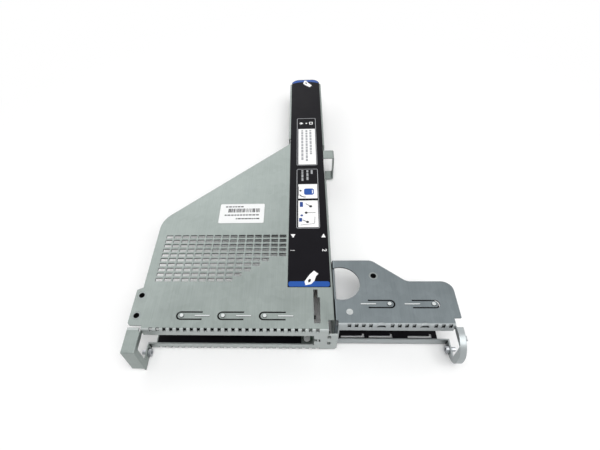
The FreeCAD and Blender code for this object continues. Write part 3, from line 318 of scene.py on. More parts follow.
def capacitor(name, ceramic, tin):
    """Fired ceramic between two tinned ends: brown and satin in the middle, bright at the caps."""
    material, tree, shader, where = new_material(name, Roughness=0.35)
    along = add(tree, "ShaderNodeSeparateXYZ", {0: where}).outputs["Y"]
    run = add(tree, "ShaderNodeMath", {0: along}, {1: CAPACITOR_LOW[1]}, operation="SUBTRACT")
    place = add(tree, "ShaderNodeMath", {0: run.outputs[0]}, {1: CAPACITOR_PITCH},
                operation="FLOORED_MODULO")
    offset = add(tree, "ShaderNodeMath", {0: place.outputs[0]}, {1: CAPACITOR_LENGTH / 2},
                 operation="SUBTRACT")
    away = add(tree, "ShaderNodeMath", {0: offset.outputs[0]}, operation="ABSOLUTE")
    end = add(tree, "ShaderNodeMath", {0: away.outputs[0]}, {1: CAPACITOR_LENGTH / 2 - CAPACITOR_CAP},
              operation="GREATER_THAN")
    tint = add(tree, "ShaderNodeMix", {0: end.outputs[0]}, {6: ceramic, 7: tin}, data_type="RGBA")
    tree.links.new(tint.outputs[2], shader.inputs["Base Color"])
    tree.links.new(end.outputs[0], shader.inputs["Metallic"])
    return material


# paper fibres lie about 0.5 mm apart
FIBRE = 0.5


def paper(name, colour):
    """Coated paper: matt and white, with a faint fibre."""
    material, tree, shader, where = new_material(name, Roughness=0.7, Specular_IOR_Level=0.3)
    fibre = add(tree, "ShaderNodeTexNoise", {"Vector": where}, {"Scale": 1 / FIBRE, "Detail": 5.0})
    tint = add(tree, "ShaderNodeValToRGB", {"Fac": fibre.outputs["Fac"]},
               stops=[(0.3, shade(colour, 0.94)), (0.7, colour)])
    tree.links.new(tint.outputs["Color"], shader.inputs["Base Color"])
    return material


# Surfaces, all in millimetres

def rounded(low, high, radius=0.0, steps=6):
    """A rectangle's outline from its near left corner, its corners quarter circles of a radius."""
    (x0, y0), (x1, y1) = low, high
    if radius <= 0:
        return np.array([(x0, y0), (x1, y0), (x1, y1), (x0, y1)], float)
    centres = np.array([(x1 - radius, y0 + radius), (x1 - radius, y1 - radius), (x0 + radius, y1 - radius),
                        (x0 + radius, y0 + radius)])
    turn = np.radians(np.add.outer((-90, 0, 90, 180), np.linspace(0, 90, steps + 1)))
    arcs = centres[:, None, :] + radius * np.stack([np.cos(turn), np.sin(turn)], axis=2)
    return arcs.reshape(-1, 2)


def disc(centre, radius, steps=20):
    """A circle's outline: the centre plus the radius at even angles."""
    turn = np.linspace(0, 2 * np.pi, steps, endpoint=False)
    return np.array(centre) + radius * np.column_stack([np.cos(turn), np.sin(turn)])


def stroke(path, width):
    """A line of a width along a path: the path moved half the width to each side, and joined at the ends."""
    points = np.array(path, float)
    run = np.gradient(points, axis=0)
    run /= np.linalg.norm(run, axis=1)[:, None]
    side = np.column_stack([-run[:, 1], run[:, 0]]) * width / 2
    return np.vstack([points - side, (points + side)[::-1]])


def arc(centre, radius, start, end, steps=10):
    """Points on a circle between two angles in degrees."""
    turn = np.radians(np.linspace(start, end, steps))
    return np.array(centre) + radius * np.column_stack([np.cos(turn), np.sin(turn)])


def sheets(outlines, low, high):
    """Thin flat solids: each outline at two heights, closed above, below and around."""
    points, faces, base = [], [], 0
    for outline in outlines:
        count = len(outline)
        ring = np.arange(count)
        after = (ring + 1) % count
        points += [np.column_stack([outline + PLAN, np.full(count, z)]) for z in (low, high)]
        faces += [list(base + count + ring), list(base + ring[::-1])]
        faces += (base + np.column_stack([ring, after, after + count, ring + count])).tolist()
        base += 2 * count
    return np.vstack(points), faces


def borders(outer, inner, low, high):
    """A flat ring: an outer and an inner outline of equal count, at two heights, joined by strips."""
    count = len(outer)
    ring = np.arange(count)
    after = (ring + 1) % count
    rows = [np.column_stack([line + PLAN, np.full(count, z)])
            for line, z in ((outer, low), (outer, high), (inner, high), (inner, low))]
    strips = [np.column_stack([ring + i * count, after + i * count, after + j * count, ring + j * count])
              for i, j in ((0, 1), (1, 2), (2, 3), (3, 0))]
    return np.vstack(rows), np.vstack(strips).tolist()


def framed(low, high, radius, width, inner):
    """A border's two outlines: a rectangle with a radius, and one a width inside it with an inner radius."""
    return rounded(low, high, radius), rounded(np.array(low) + width, np.array(high) - width, inner)


def carried(rings, starts):
    """Closed bars: one bar's rings of corners at each start, joined along it and capped at both ends."""
    count, corners = rings.shape[:2]
    points = (np.array(starts)[:, None, None, :] + rings[None]).reshape(-1, 3)
    corner = np.arange(corners)
    after = (corner + 1) % corners
    along = np.arange(count - 1)[:, None] * corners
    sides = np.stack([along + corner, along + after, along + after + corners, along + corner + corners],
                     axis=2).reshape(-1, 4)
    caps = np.stack([corner[::-1], corner + (count - 1) * corners])
    shift = (np.arange(len(starts)) * count * corners)[:, None, None]
    return points, (shift + np.vstack([sides, caps])[None]).reshape(-1, 4).tolist()


def together(*parts):
    """Several surfaces as one: points in a row, and faces counted on."""
    offsets = np.cumsum([0] + [len(points) for points, faces in parts])
    faces = [[index + int(start) for index in face] for (points, rings), start in zip(parts, offsets)
             for face in rings]
    return np.vstack([points for points, rings in parts]), faces


def piece(name, surface, material, slot, *replaced):
    """Puts a surface into the scene as a piece that rides on the part's one body."""
    points, faces = surface
    mesh = bpy.data.meshes.new(name)
    mesh.from_pydata((points * MM).tolist(), [], faces)
    mesh.materials.append(material)
    made = bpy.data.objects.new(name, mesh)
    bpy.context.scene.collection.objects.link(made)
    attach(made, "root")
    if replaced:
        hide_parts(*replaced)
    return made


def dress(nodes, material):
    """Gives CAD nodes a material."""
    for name in nodes:
        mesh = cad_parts[name].data
        mesh.materials.clear()
        mesh.materials.append(material)


# Settings

def swatch(name, description, code):
    """A colour setting, its default given as a hex code."""
    return bpy.props.FloatVectorProperty(name=name, description=description, default=linear(code), size=4,
                                         min=0.0, max=1.0, subtype="COLOR")


def softbox_power(side, default):
    """The setting of one softbox's power."""
    return bpy.props.FloatProperty(name=f"{side} softbox",
                                   description=f"Power of the {side.lower()} softbox", default=default,
                                   min=0.0, max=100.0, unit="POWER")


class RiserSheet(bpy.types.PropertyGroup):
    cage_dark: swatch("Cage, dark", "Darker zinc of the cage", "#7F8784")
    cage_light: swatch("Cage, light", "Lighter zinc of the cage", "#929A97")
    bay_dark: swatch("Bay, dark", "Darker zinc of the low-profile bay", "#6B7376")
    bay_light: swatch("Bay, light", "Lighter zinc of the low-profile bay", "#7C8487")
    # painted highlight: the pale zinc laid on raised marks and folded walls
    painted_highlight: swatch("Painted highlight", "Zinc on raised marks", "#C4C8C8")
    # painted shade: the dark laid in narrow cuts and on the vents' walls
    cut: swatch("Painted shade", "Bare steel in narrow cuts", "#141515")
    rough: bpy.props.FloatProperty(name="Roughness", description="Roughness of the zinc coat", default=0.4,
                                   min=0.1, max=0.9, subtype="FACTOR")


class RiserFasteners(bpy.types.PropertyGroup):
    screw: swatch("Screw", "Zinc plating of the bracket screws", "#B4B7BB")
    # painted shade: the board screws are black so that the tab window shows no glint
    board_screw_shade: swatch("Board screw", "Black oxide of the board's screws", "#1E1E20")
    nut: swatch("Nut", "Rim of the clinch nuts", "#8C9392")
    # painted shade: the bore's colour lies on every lower or upright face of the nuts
    bore: swatch("Bore", "Shadowed bore of the clinch nuts", "#08080A")
    # painted highlight: the rivet is near white with little metal
    rivet: swatch("Rivet", "Rivet on the shelf", "#F2F4F4")
    stud: swatch("Stud", "Stud in the low-profile bay", "#B9BDBD")


class RiserBoard(bpy.types.PropertyGroup):
    mask: swatch("Solder mask", "Green of the board", "#072015")
    trace: swatch("Traces", "Green over the traces", "#10391F")
    socket: swatch("Socket", "Nylon of the card connector", "#1A1A1C")
    gold: swatch("Gold", "Plating of the contacts", "#D8A94C")
    tin: swatch("Tin", "Plating of the tails and caps", "#C9C9C6")
    ceramic: swatch("Ceramic", "Body of the capacitors", "#8A6A48")
    pitch: bpy.props.FloatProperty(name="Contact pitch", description="Distance between contacts",
                                   default=1.0 * MM, min=0.5 * MM, max=5.0 * MM, unit="LENGTH", precision=4)


class RiserLabel(bpy.types.PropertyGroup):
    film: swatch("Film", "Insulating film on the shelves", "#0A080D")
    label: swatch("Label", "Black of the bar's label", "#121115")
    paper: swatch("Paper", "Paper of the sticker", "#F2F3F3")
    white: swatch("White", "White print", "#F5F5F5")
    grey: swatch("Grey", "Grey print", "#A0A2A5")
    blue: swatch("Blue", "Blue print", "#184C9B")
    navy: swatch("Navy", "Dark blue print", "#1B3F86")
    dark: swatch("Dark", "Dark print", "#232327")
    ink: bpy.props.FloatProperty(name="Ink", description="Thickness of a layer of print", default=0.02 * MM,
                                 min=0.005 * MM, max=0.1 * MM, unit="LENGTH", precision=5)


class RiserStage(bpy.types.PropertyGroup):
    sky: bpy.props.FloatProperty(name="Sky", description="Strength of the sky on matt surfaces", default=0.3,
                                 min=0.0, max=2.0)
    front: softbox_power("Front", 19.0)
    back: softbox_power("Back", 5.5)
    left: softbox_power("Left", 4.0)
    right: softbox_power("Right", 3.0)
    floor: swatch("Floor", "Paper floor", "#FEFEFE")


# Sheets, fasteners and board

# where the folded walls start and end, from the first rear wall, which bounds their painted highlight; the
# bay's guard goes with its wall
CAGE_FOLD = (-0.2, 1.2)
BAY_FOLD = (-20.0, 5.9)


class RISER_OT_sheets(bpy.types.Operator):
    """Gives the two folded sheets their zinc coat, with painted highlights and painted shade"""
    bl_idname = "riser.sheets"
    bl_label = "Galvanised sheets"

    def execute(self, context):
        look = context.scene.riser_sheet
        painted_highlight, cut = tuple(look.painted_highlight), tuple(look.cut)
        dress(["main_cage"], galvanised("galvanised_cage", tuple(look.cage_dark), tuple(look.cage_light),
                                        painted_highlight, cut, look.rough, CAGE_FOLD))
        dress(["low_profile_bay"], galvanised("galvanised_bay", tuple(look.bay_dark), tuple(look.bay_light),
                                              painted_highlight, cut, look.rough, BAY_FOLD))
        return {"FINISHED"}


class RISER_OT_fasteners(bpy.types.Operator):
    """Gives screws, nuts, the rivet and the stud their plating, with painted shade on the nuts and the board
    screws and a painted highlight on the rivet
    """
    bl_idname = "riser.fasteners"
    bl_label = "Fasteners"

    def execute(self, context):
        look = context.scene.riser_fasteners
        dress(["slot_1_bracket_screw", "slot_2_bracket_screw"],
              plated("zinc_plated_screw", tuple(look.screw), rough=0.28))
        # painted shade: the board screws are black so that the tab window shows no glint
        dress(["board_screws"], plated("black_oxide_screw", tuple(look.board_screw_shade), rough=0.5))
        dress(["ear_clinch_nuts", "bay_clinch_nut"],
              clinch_nut("clinch_nut_steel", tuple(look.nut), tuple(look.bore), rough=0.35))
        # painted highlight: the rivet is near white with little metal
        dress(["shelf_rivet"], plated("rivet_aluminium", tuple(look.rivet), rough=0.45, metallic=0.2))
        dress(["bay_stud"], plated("stud_steel", tuple(look.stud), rough=0.45, metallic=0.5))
        return {"FINISHED"}


class RISER_OT_board(bpy.types.Operator):
    """Gives the board, the socket and the capacitors their materials"""
    bl_idname = "riser.board"
    bl_label = "Riser board"

    def execute(self, context):
        look = context.scene.riser_board
        dress(["riser_board"], solder_mask("solder_mask", tuple(look.mask), tuple(look.trace)))
        dress(["card_connector"], plastic("connector_nylon", tuple(look.socket), rough=0.45))
        dress(["board_capacitors"], capacitor("fired_ceramic", tuple(look.ceramic), tuple(look.tin)))
        return {"FINISHED"}


# the plug tongue and the card's slot: two stretches of contacts with a key between them
PLUG_NEAR = 42.0
SOCKET_NEAR = 42.5
PLUG_SHORT = 11.65
PLUG_KEY = 1.9
PLUG_LONG = 71.65
PAD_WIDTH = 0.7
SPRING_WIDTH = 0.6
SPRING_THICK = 0.25
SPRING_RISE = 0.3
SPRING_STEPS = 8
TAIL_SIZE = 0.45
TAIL_TIP = 0.2
# share of a tail before it tapers
TAIL_STRAIGHT = 0.7


def contact_places(near, pitch):
    """Middles of the contacts along both stretches: an even row, centred on each stretch."""
    rows = []
    for start, length in ((near, PLUG_SHORT), (near + PLUG_SHORT + PLUG_KEY, PLUG_LONG)):
        count = int((length - PAD_WIDTH) / pitch) + 1
        rows.append(start + length / 2 + (np.arange(count) - (count - 1) / 2) * pitch)
    return WALL_Y + np.concatenate(rows)


def square_ring(x, half_y, half_z, z=0.0):
    """Four corners round the x axis at a place along it."""
    low, high = z - half_z, z + half_z
    return [(x, -half_y, low), (x, half_y, low), (x, half_y, high), (x, -half_y, high)]


def row_starts(x, places, z):
    """Where the bars of a row start: each place along the bar, at one x and one z."""
    return np.column_stack([np.full(len(places), x), places, np.full(len(places), z)])


class RISER_OT_contacts(bpy.types.Operator):
    """Draws the plug's contacts, the socket's springs and the solder tails at a usual pitch"""
    bl_idname = "riser.contacts"
    bl_label = "Contacts"

    def execute(self, context):
        look = context.scene.riser_board
        pitch = look.pitch / MM
        gold = plated("gold_plating", tuple(look.gold), rough=0.2)
        tin = plated("tinned_tail", tuple(look.tin), rough=0.25)

        # flat pads on both faces of the tongue
        half = (PAD_HIGH[2] - PAD_LOW[2]) / 2
        thick = BOARD_LOW[0] - PAD_LOW[0]
        flat = np.array([square_ring(0.0, PAD_WIDTH / 2, half), square_ring(thick, PAD_WIDTH / 2, half)])
        places = contact_places(PLUG_NEAR, pitch)
        starts = [row_starts(x, places, PAD_LOW[2] + half) for x in (PAD_LOW[0], BOARD_HIGH[0])]
        piece("plug_contacts", carried(flat, np.vstack(starts)), gold, "gold", "edge_contacts")

        # springs along both walls of the slot, bowed towards the card by half a sine wave
        reach = SPRING_HIGH[0] - SPRING_LOW[0]
        steps = np.linspace(0.0, 1.0, SPRING_STEPS)
        places = contact_places(SOCKET_NEAR, pitch)
        rows = []
        for wall, side in ((SPRING_LOW[2] + SPRING_THICK / 2, 1), (SPRING_HIGH[2] - SPRING_THICK / 2, -1)):
            bow = side * SPRING_RISE * np.sin(np.pi * steps)
            strip = np.array([square_ring(reach * t, SPRING_WIDTH / 2, SPRING_THICK / 2, z)
                              for t, z in zip(steps, bow)])
            rows.append(carried(strip, row_starts(SPRING_LOW[0], places, wall)))
        piece("socket_springs", together(*rows), gold, "gold", "connector_contacts")

        # square tails through the board, tapered to the tip
        length = TAIL_HIGH[0] - TAIL_LOW[0]
        side = (TAIL_SIZE / 2, TAIL_SIZE / 2)
        tail = np.array([square_ring(0.0, *side), square_ring(TAIL_STRAIGHT * length, *side),
                         square_ring(length, TAIL_TIP / 2, TAIL_TIP / 2)])
        starts = [row_starts(TAIL_LOW[0], places, z)
                  for z in (TAIL_LOW[2] + TAIL_SIZE / 2, TAIL_HIGH[2] - TAIL_SIZE / 2)]
        piece("solder_tails", carried(tail, np.vstack(starts)), tin, "tinned_metal", "connector_tails")
        return {"FINISHED"}


# Films, label and sticker

class RISER_OT_films(bpy.types.Operator):
    """Gives the shelf films and the bar's label their materials"""
    bl_idname = "riser.films"
    bl_label = "Films and label"

    def execute(self, context):
        look = context.scene.riser_label
        dress(["slot_1_film", "slot_2_film"],
              plastic("insulating_film", tuple(look.film), rough=0.5, shine=0.1))
        dress(["touch_label"],
              plastic("label_film", tuple(look.label), rough=0.45, shine=0.06, grain=0.05, lift=1.2))
        return {"FINISHED"}


# corners of each film's tail behind its shelf, on the plan, from its right end round to its left one; the
# second film leaves room under the finger hole. The tails are painted shade: black sheet carried on under
# the plates, where the slits and holes look into shade
FILM_SHADE_CORNERS = {
    "slot_1_film": ((-6.15, 30.0),),
    "slot_2_film": ((98.0, 32.0), (98.0, 36.0), (95.0, 39.8), (38.0, 39.8), (38.0, 22.5)),
}


class RISER_OT_film_shade(bpy.types.Operator):
    """Carries each shelf film on under its plate, as painted shade behind the slits and holes"""
    bl_idname = "riser.film_tails"
    bl_label = "Film tails"

    def execute(self, context):
        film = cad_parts["slot_1_film"].data.materials[0]
        for name, corners in FILM_SHADE_CORNERS.items():
            low, high = span(name)
            left = low[0] - BAR_X
            right, near = high[:2] - PLAN
            outline = np.array([(left, near), (right, near), *corners, (left, corners[-1][1])])
            # painted shade: a black sheet under the plate
            piece(f"{name}_tail", sheets([outline], low[2], high[2]), film, "black_film")
        return {"FINISHED"}


# the label's two boxes on the plan: each a grey border round fields of print
BOX_LEFT, BOX_RIGHT = -9.35, 9.65
FIELD_LEFT, FIELD_RIGHT = -7.85, 8.65
BOX_SPANS = ((165.0, 238.0), (89.0, 160.0))
BORDER = 0.5
BORDER_ROUND = 1.6
FIELD_SPANS = ((166.2, 220.0), (122.5, 140.0), (90.2, 120.0))
# rows of dashes run along the bar: each row's place across it, its far end and its length
FIELD_ROWS = ((4.0, 218.0, 38.0), (0.1, 218.0, 48.5), (-4.1, 218.0, 49.5))
BAND_ROWS = ((4.2, 158.4, 7.0), (0.3, 158.4, 13.4), (-4.2, 158.4, 15.6))
ROW_WIDTH = 2.0
BAND_ROW_WIDTH = 1.7
# the mark in each blue end, on the plan, with a spot in it
NEAR_MARK = ((3.8, 48.0), (7.0, 45.2), (5.3, 43.3), (3.9, 39.0), (1.6, 36.4), (-2.6, 35.4), (-3.2, 38.7),
             (0.5, 44.5))
NEAR_SPOT = ((-0.4, 37.6), (0.9, 38.2), (1.6, 40.2), (0.6, 41.0), (-0.8, 39.4))
FAR_MARK = ((-1.4, 310.4), (0.7, 311.1), (2.9, 306.5), (7.2, 300.4), (4.8, 297.2), (1.4, 299.8),
            (-2.6, 304.5))
FAR_SPOT = ((-0.5, 306.6), (0.9, 307.2), (1.9, 304.6), (0.8, 303.8))
# arrowheads beside the boxes, and the numerals of the slots, lying on their side
ARROWS = (((-13.9, 83.0), (-11.9, 79.3), (-10.1, 83.0)), ((10.3, 79.6), (13.8, 79.6), (12.2, 83.4)))
ONE = ((0.3, 2.4), (1.1, 3.1), (1.1, 0.0))
TWO = ((0.0, 2.4), (0.3, 2.9), (1.0, 3.1), (1.7, 2.8), (1.8, 2.1), (1.4, 1.4), (0.0, 0.15), (2.0, 0.15))
NUMERALS = ((ONE, -13.8, 68.0), (TWO, 10.7, 68.0))
NUMERAL_WIDTH = 0.6
# the near blue end is a strip inside the label's edge, up to a corner on the plan
STRIP_INSET = (0.5, 0.2)
STRIP_CORNER = (14.9, 38.7)
STRIP_ROUND = 1.6
# the far blue end is a cap: round corners that start at an angle in degrees, and a shallow curve
CAP_X, CAP_Y = 7.3, 304.2
CAP_ROUND = 7.8
CAP_START = 8
CURVE_CENTRE = (0.0, 274.5)
CURVE_RADIUS = 34.0
CURVE_HALF = 23
# signs in the far box: a triangle with a bar behind it, a dot and a frame
SIGN_TRIANGLE = ((-5.6, 231.6), (-5.6, 227.4), (-2.9, 229.5))
SIGN_BAR = ((-6.6, 228.4), (-5.9, 230.6))
SIGN_DOT = ((-0.6, 228.6), (1.0, 230.2))
SIGN_DOT_ROUND = 0.4
SIGN_FRAME = ((3.0, 227.3), (6.6, 231.6))
SIGN_FRAME_ROUND = 0.7
SIGN_FRAME_WIDTH = 0.8
SIGN_FRAME_INNER = 0.3
# pictures in the white fields: a key with a pale line on it, tiles, discs with their radius, lines with
# their width, a bow with its radius and angles, and a line down the field's left side
KEY = ((-2.9, 126.8), (5.6, 134.6))
KEY_ROUND = 2.0
GLINT = ((4.2, 128.6), (4.5, 130.7), (4.2, 132.8))
GLINT_WIDTH = 0.7
TILES = (((-6.6, 112.6), (-3.9, 118.4)), ((-7.2, 96.2), (-4.7, 100.2)))
TILE_ROUND = 0.4
NAVY_DISC = ((-5.0, 103.0), 1.1)
DARK_DISCS = (((-6.0, 132.0), 1.0), ((2.5, 113.2), 1.3), ((-1.3, 106.0), 1.2), ((-0.3, 95.8), 1.2))
DARK_LINES = ((((-1.6, 116.4), (2.3, 113.4)), 0.6), (((-1.0, 106.0), (6.4, 106.0)), 0.5),
              (((-4.2, 98.0), (-0.6, 96.0)), 0.6), (((-6.0, 92.6), (5.4, 94.0)), 0.35),
              (((5.4, 94.6), (5.9, 101.4)), 0.35))
BOW = ((-2.0, 129.4), 5.2, 205, 275)
BOW_WIDTH = 0.9
SIDE_NEAR, SIDE_FAR = 126.0, 137.0
SIDE_WIDTH = 0.3
# dashes: shortest and longest, the gap between two, and how many are drawn by lot for a row
DASH_SIZES = (1.6, 5.2)
DASH_GAP = 0.9
DASH_LOTS = 40
FIELD_SEED = 7
BAND_SEED = 4


def dash_ends(lots, length, sizes, gap, count):
    """Starts and ends of a row's dashes: sizes by lot, summed up with a gap after each, while they fit."""
    drawn = lots.uniform(*sizes, count)
    ends = np.cumsum(drawn + gap) - gap
    return np.column_stack([ends - drawn, ends])[ends <= length]


def dashes(rows, width, seed):
    """Rows of dashes of a width, each counted from the row's far end."""
    lots = np.random.RandomState(seed)
    return [rounded((x - width / 2, far - end), (x + width / 2, far - start)) for x, far, length in rows
            for start, end in dash_ends(lots, length, DASH_SIZES, DASH_GAP, DASH_LOTS)]


class RISER_OT_print(bpy.types.Operator):
    """Prints plain shapes on the bar's label"""
    bl_idname = "riser.print"
    bl_label = "Label print"

    def execute(self, context):
        look = context.scene.riser_label
        ink = look.ink / MM
        white = plastic("white_ink", tuple(look.white), rough=0.5, shine=0.3, grain=0.03, lift=1.05)
        silver = plastic("grey_ink", tuple(look.grey), rough=0.5, shine=0.3, grain=0.03, lift=1.1)
        blue = plastic("blue_ink", tuple(look.blue), rough=0.45, shine=0.3, grain=0.03, lift=1.1)
        navy = plastic("navy_ink", tuple(look.navy), rough=0.45, shine=0.3, grain=0.03, lift=1.1)
        dark = plastic("dark_ink", tuple(look.dark), rough=0.5, shine=0.2, grain=0.03, lift=1.1)
        first = LABEL_HIGH[2]
        second = first + ink
        third = second + ink

        # blue ends: a strip with round corners, and a cap that follows the bar's far end
        cap = np.vstack([arc((CAP_X, CAP_Y), CAP_ROUND, CAP_START, 90, 8),
                         arc((-CAP_X, CAP_Y), CAP_ROUND, 90, 180 - CAP_START, 8),
                         arc(CURVE_CENTRE, CURVE_RADIUS, 90 + CURVE_HALF, 90 - CURVE_HALF, 9)])
        near = rounded(LABEL_LOW[:2] - PLAN + STRIP_INSET, STRIP_CORNER, STRIP_ROUND)
        piece("label_blue_print", sheets([near, cap], first, second), blue, "label_film")

        # white fields, marks, arrowheads, numerals and signs
        fields = [rounded((FIELD_LEFT, low), (FIELD_RIGHT, high)) for low, high in FIELD_SPANS]
        arrows = [np.array(corners) for corners in ARROWS]
        numerals = [stroke([(x + v, y - u) for u, v in glyph], NUMERAL_WIDTH) for glyph, x, y in NUMERALS]
        signs = [np.array(SIGN_TRIANGLE), rounded(*SIGN_BAR), rounded(*SIGN_DOT, SIGN_DOT_ROUND)]
        flat = sheets(fields + arrows + numerals + signs, first, second)
        outlines = framed(*SIGN_FRAME, SIGN_FRAME_ROUND, SIGN_FRAME_WIDTH, SIGN_FRAME_INNER)
        frame_sign = borders(*outlines, first, second)
        marks = sheets([np.array(NEAR_MARK)[::-1], np.array(FAR_MARK)[::-1]], first, third)
        piece("label_white_print", together(flat, frame_sign, marks), white, "label_film")

        # grey borders and rows of dashes
        lines = [borders(*framed((BOX_LEFT, low), (BOX_RIGHT, high), BORDER_ROUND, BORDER,
                                 BORDER_ROUND - BORDER), first, second) for low, high in BOX_SPANS]
        rows = sheets(dashes(FIELD_ROWS, ROW_WIDTH, FIELD_SEED), second, third)
        band = sheets(dashes(BAND_ROWS, BAND_ROW_WIDTH, BAND_SEED), first, second)
        piece("label_grey_print", together(rows, band, *lines), silver, "label_film")

        # pictures in the white fields
        piece("label_key_print", sheets([rounded(*KEY, KEY_ROUND)], second, third), blue, "label_film")
        glint = sheets([stroke(GLINT, GLINT_WIDTH)], third, third + ink)
        piece("label_glint_print", glint, white, "label_film")
        tiles = [rounded(*corners, TILE_ROUND) for corners in TILES] + [disc(*NAVY_DISC)]
        piece("label_navy_print", sheets(tiles, second, third), navy, "label_film")
        drawn = [disc(*spot) for spot in DARK_DISCS] + [stroke(*line) for line in DARK_LINES]
        drawn += [stroke(arc(*BOW), BOW_WIDTH),
                  rounded((FIELD_LEFT, SIDE_NEAR), (FIELD_LEFT + SIDE_WIDTH, SIDE_FAR))]
        spots = sheets([np.array(NEAR_SPOT), np.array(FAR_SPOT)[::-1]], third, third + ink)
        piece("label_dark_print", together(sheets(drawn, second, third), spots), dark, "label_film")
        return {"FINISHED"}


# the sticker's print as shares of its size: each row's place from the far edge and its two ends, and the
# bars' two ends from the far edge and from the left
STICKER_ROUND = 1.2
STICKER_ROWS = ((0.15, 0.12, 0.54), (0.59, 0.12, 0.92), (0.78, 0.38, 0.91))
STICKER_ROW_WIDTH = 1.2
STICKER_BARS = (0.25, 0.45, 0.18, 0.92)
# its dashes, and the widths of its bars and of the gaps between them, with how many are drawn by lot
STICKER_DASH_SIZES = (0.9, 2.6)
STICKER_DASH_GAP = 0.6
STICKER_DASH_LOTS = 60
STICKER_BAR_WIDTHS = (0.3, 0.45, 0.6, 0.9)
STICKER_BAR_LOTS = 120
STICKER_SEED = 11


class RISER_OT_sticker(bpy.types.Operator):
    """Makes the plate's sticker, with rounded corners, plain bars and rows of dashes"""
    bl_idname = "riser.sticker"
    bl_label = "Sticker"

    def execute(self, context):
        look = context.scene.riser_label
        ink = look.ink / MM
        low = STICKER_LOW[:2] - PLAN
        size = (STICKER_HIGH - STICKER_LOW)[:2]
        far = low[1] + size[1]
        page = sheets([rounded(low, low + size, STICKER_ROUND)], STICKER_LOW[2], STICKER_HIGH[2])
        piece("rounded_sticker", page, paper("sticker_paper", tuple(look.paper)), "sticker_paper",
              "part_sticker")

        lots = np.random.RandomState(STICKER_SEED)
        widths = lots.choice(STICKER_BAR_WIDTHS, STICKER_BAR_LOTS)
        from_far, to_far, left, right = STICKER_BARS
        edges = low[0] + size[0] * left + np.cumsum(widths)
        edges = edges[edges < low[0] + size[0] * right]
        bars = [rounded((a, far - size[1] * to_far), (b, far - size[1] * from_far))
                for a, b in zip(edges[0::2], edges[1::2])]
        rows = []
        for share, start, end in STICKER_ROWS:
            y = far - size[1] * share
            x = low[0] + size[0] * start
            ends = dash_ends(lots, size[0] * (end - start), STICKER_DASH_SIZES, STICKER_DASH_GAP,
                             STICKER_DASH_LOTS)
            rows += [rounded((x + a, y - STICKER_ROW_WIDTH / 2), (x + b, y + STICKER_ROW_WIDTH / 2))
                     for a, b in ends]
        dark = plastic("sticker_ink", tuple(look.dark), rough=0.6, shine=0.2, grain=0.03, lift=1.1)
        above = STICKER_HIGH[2]
        piece("sticker_print", sheets(bars + rows, above, above + ink), dark, "sticker_paper")
        return {"FINISHED"}


# Stage

# camera fitted to the photograph: turn, tilt and roll in degrees, eye in millimetres, focal length and
# middle in pixels of a picture 600 wide
YAW = 5.505
PITCH = 49.254
ROLL = -4.718
EYE = (9.06, -276.39, 286.81)
FOCAL = 417.69
CENTRE_X = 277.70
PICTURE = 600
SENSOR = 36.0
CLIP_NEAR = 10.0


def camera_axes():
    """Camera right, down and forward as rows: a turn, then level to upright, a tilt and a roll."""
    a, b, c = np.radians((YAW, PITCH, ROLL))
    turn = np.array([[math.cos(a), math.sin(a), 0], [-math.sin(a), math.cos(a), 0], [0, 0, 1]])
    level = np.array([[1, 0, 0], [0, 0, -1], [0, 1, 0]])
    tilt = np.array([[1, 0, 0], [0, math.cos(b), -math.sin(b)], [0, math.sin(b), math.cos(b)]])
    roll = np.array([[math.cos(c), -math.sin(c), 0], [math.sin(c), math.cos(c), 0], [0, 0, 1]])
    return roll @ tilt @ level @ turn


# softboxes: where each stands, in metres, and its size; each faces the part
SOFTBOXES = {
    "front": ((0.3, -0.6, 1.5), (1.4, 1.4)),
    "back": ((-0.5, 1.2, 0.9), (1.2, 1.0)),
    "left": ((-1.2, 0.2, 0.8), (1.2, 1.0)),
    "right": ((1.2, -0.2, 0.6), (0.8, 0.8)),
}
FLOOR_REACH = 4.0


def seen_directly(tree):
    """One where the camera, a gloss or a clear surface looks, and nought where light is gathered."""
    path = add(tree, "ShaderNodeLightPath").outputs
    gloss = add(tree, "ShaderNodeMath", {0: path["Is Camera Ray"], 1: path["Is Glossy Ray"]},
                operation="MAXIMUM")
    return add(tree, "ShaderNodeMath", {0: gloss.outputs[0], 1: path["Is Transmission Ray"]},
               operation="MAXIMUM").outputs[0]


# the lit paper gives way to plain white between these distances from the part's middle
PAPER_NEAR = 160.0
PAPER_FAR = 420.0


def paper_floor(name, colour):
    """White paper: matt, with the part's shadow on it, and white as the background further out."""
    material, tree, shader, where = new_material(name, Roughness=0.9, Specular_IOR_Level=0.0)
    shader.inputs["Base Color"].default_value = colour
    distance = add(tree, "ShaderNodeVectorMath", {0: where}, operation="LENGTH").outputs["Value"]
    out = add(tree, "ShaderNodeMapRange", {"Value": distance},
              {"From Min": PAPER_NEAR, "From Max": PAPER_FAR}, interpolation_type="SMOOTHSTEP")
    share = add(tree, "ShaderNodeMath", {0: out.outputs[0], 1: seen_directly(tree)}, operation="MULTIPLY")
    white = add(tree, "ShaderNodeEmission", (), {"Color": grey(1.0), "Strength": 1.0})
    mixer = add(tree, "ShaderNodeMixShader",
                {0: share.outputs[0], 1: shader.outputs[0], 2: white.outputs[0]})
    tree.links.new(mixer.outputs[0], tree.nodes["Material Output"].inputs["Surface"])
    return material


def studio_world(strength):
    """A sky that lights matt surfaces softly, and that the camera and gloss see white."""
    world = bpy.data.worlds.new("studio")
    world.use_nodes = True
    tree = world.node_tree
    sky = tree.nodes["Background"]
    sky.inputs["Color"].default_value = grey(1.0)
    sky.inputs["Strength"].default_value = strength
    seen = add(tree, "ShaderNodeBackground", (), {"Color": grey(1.0), "Strength": 1.0})
    mixer = add(tree, "ShaderNodeMixShader",
                {0: seen_directly(tree), 1: sky.outputs[0], 2: seen.outputs[0]})
    tree.links.new(mixer.outputs[0], tree.nodes["World Output"].inputs["Surface"])
    return world


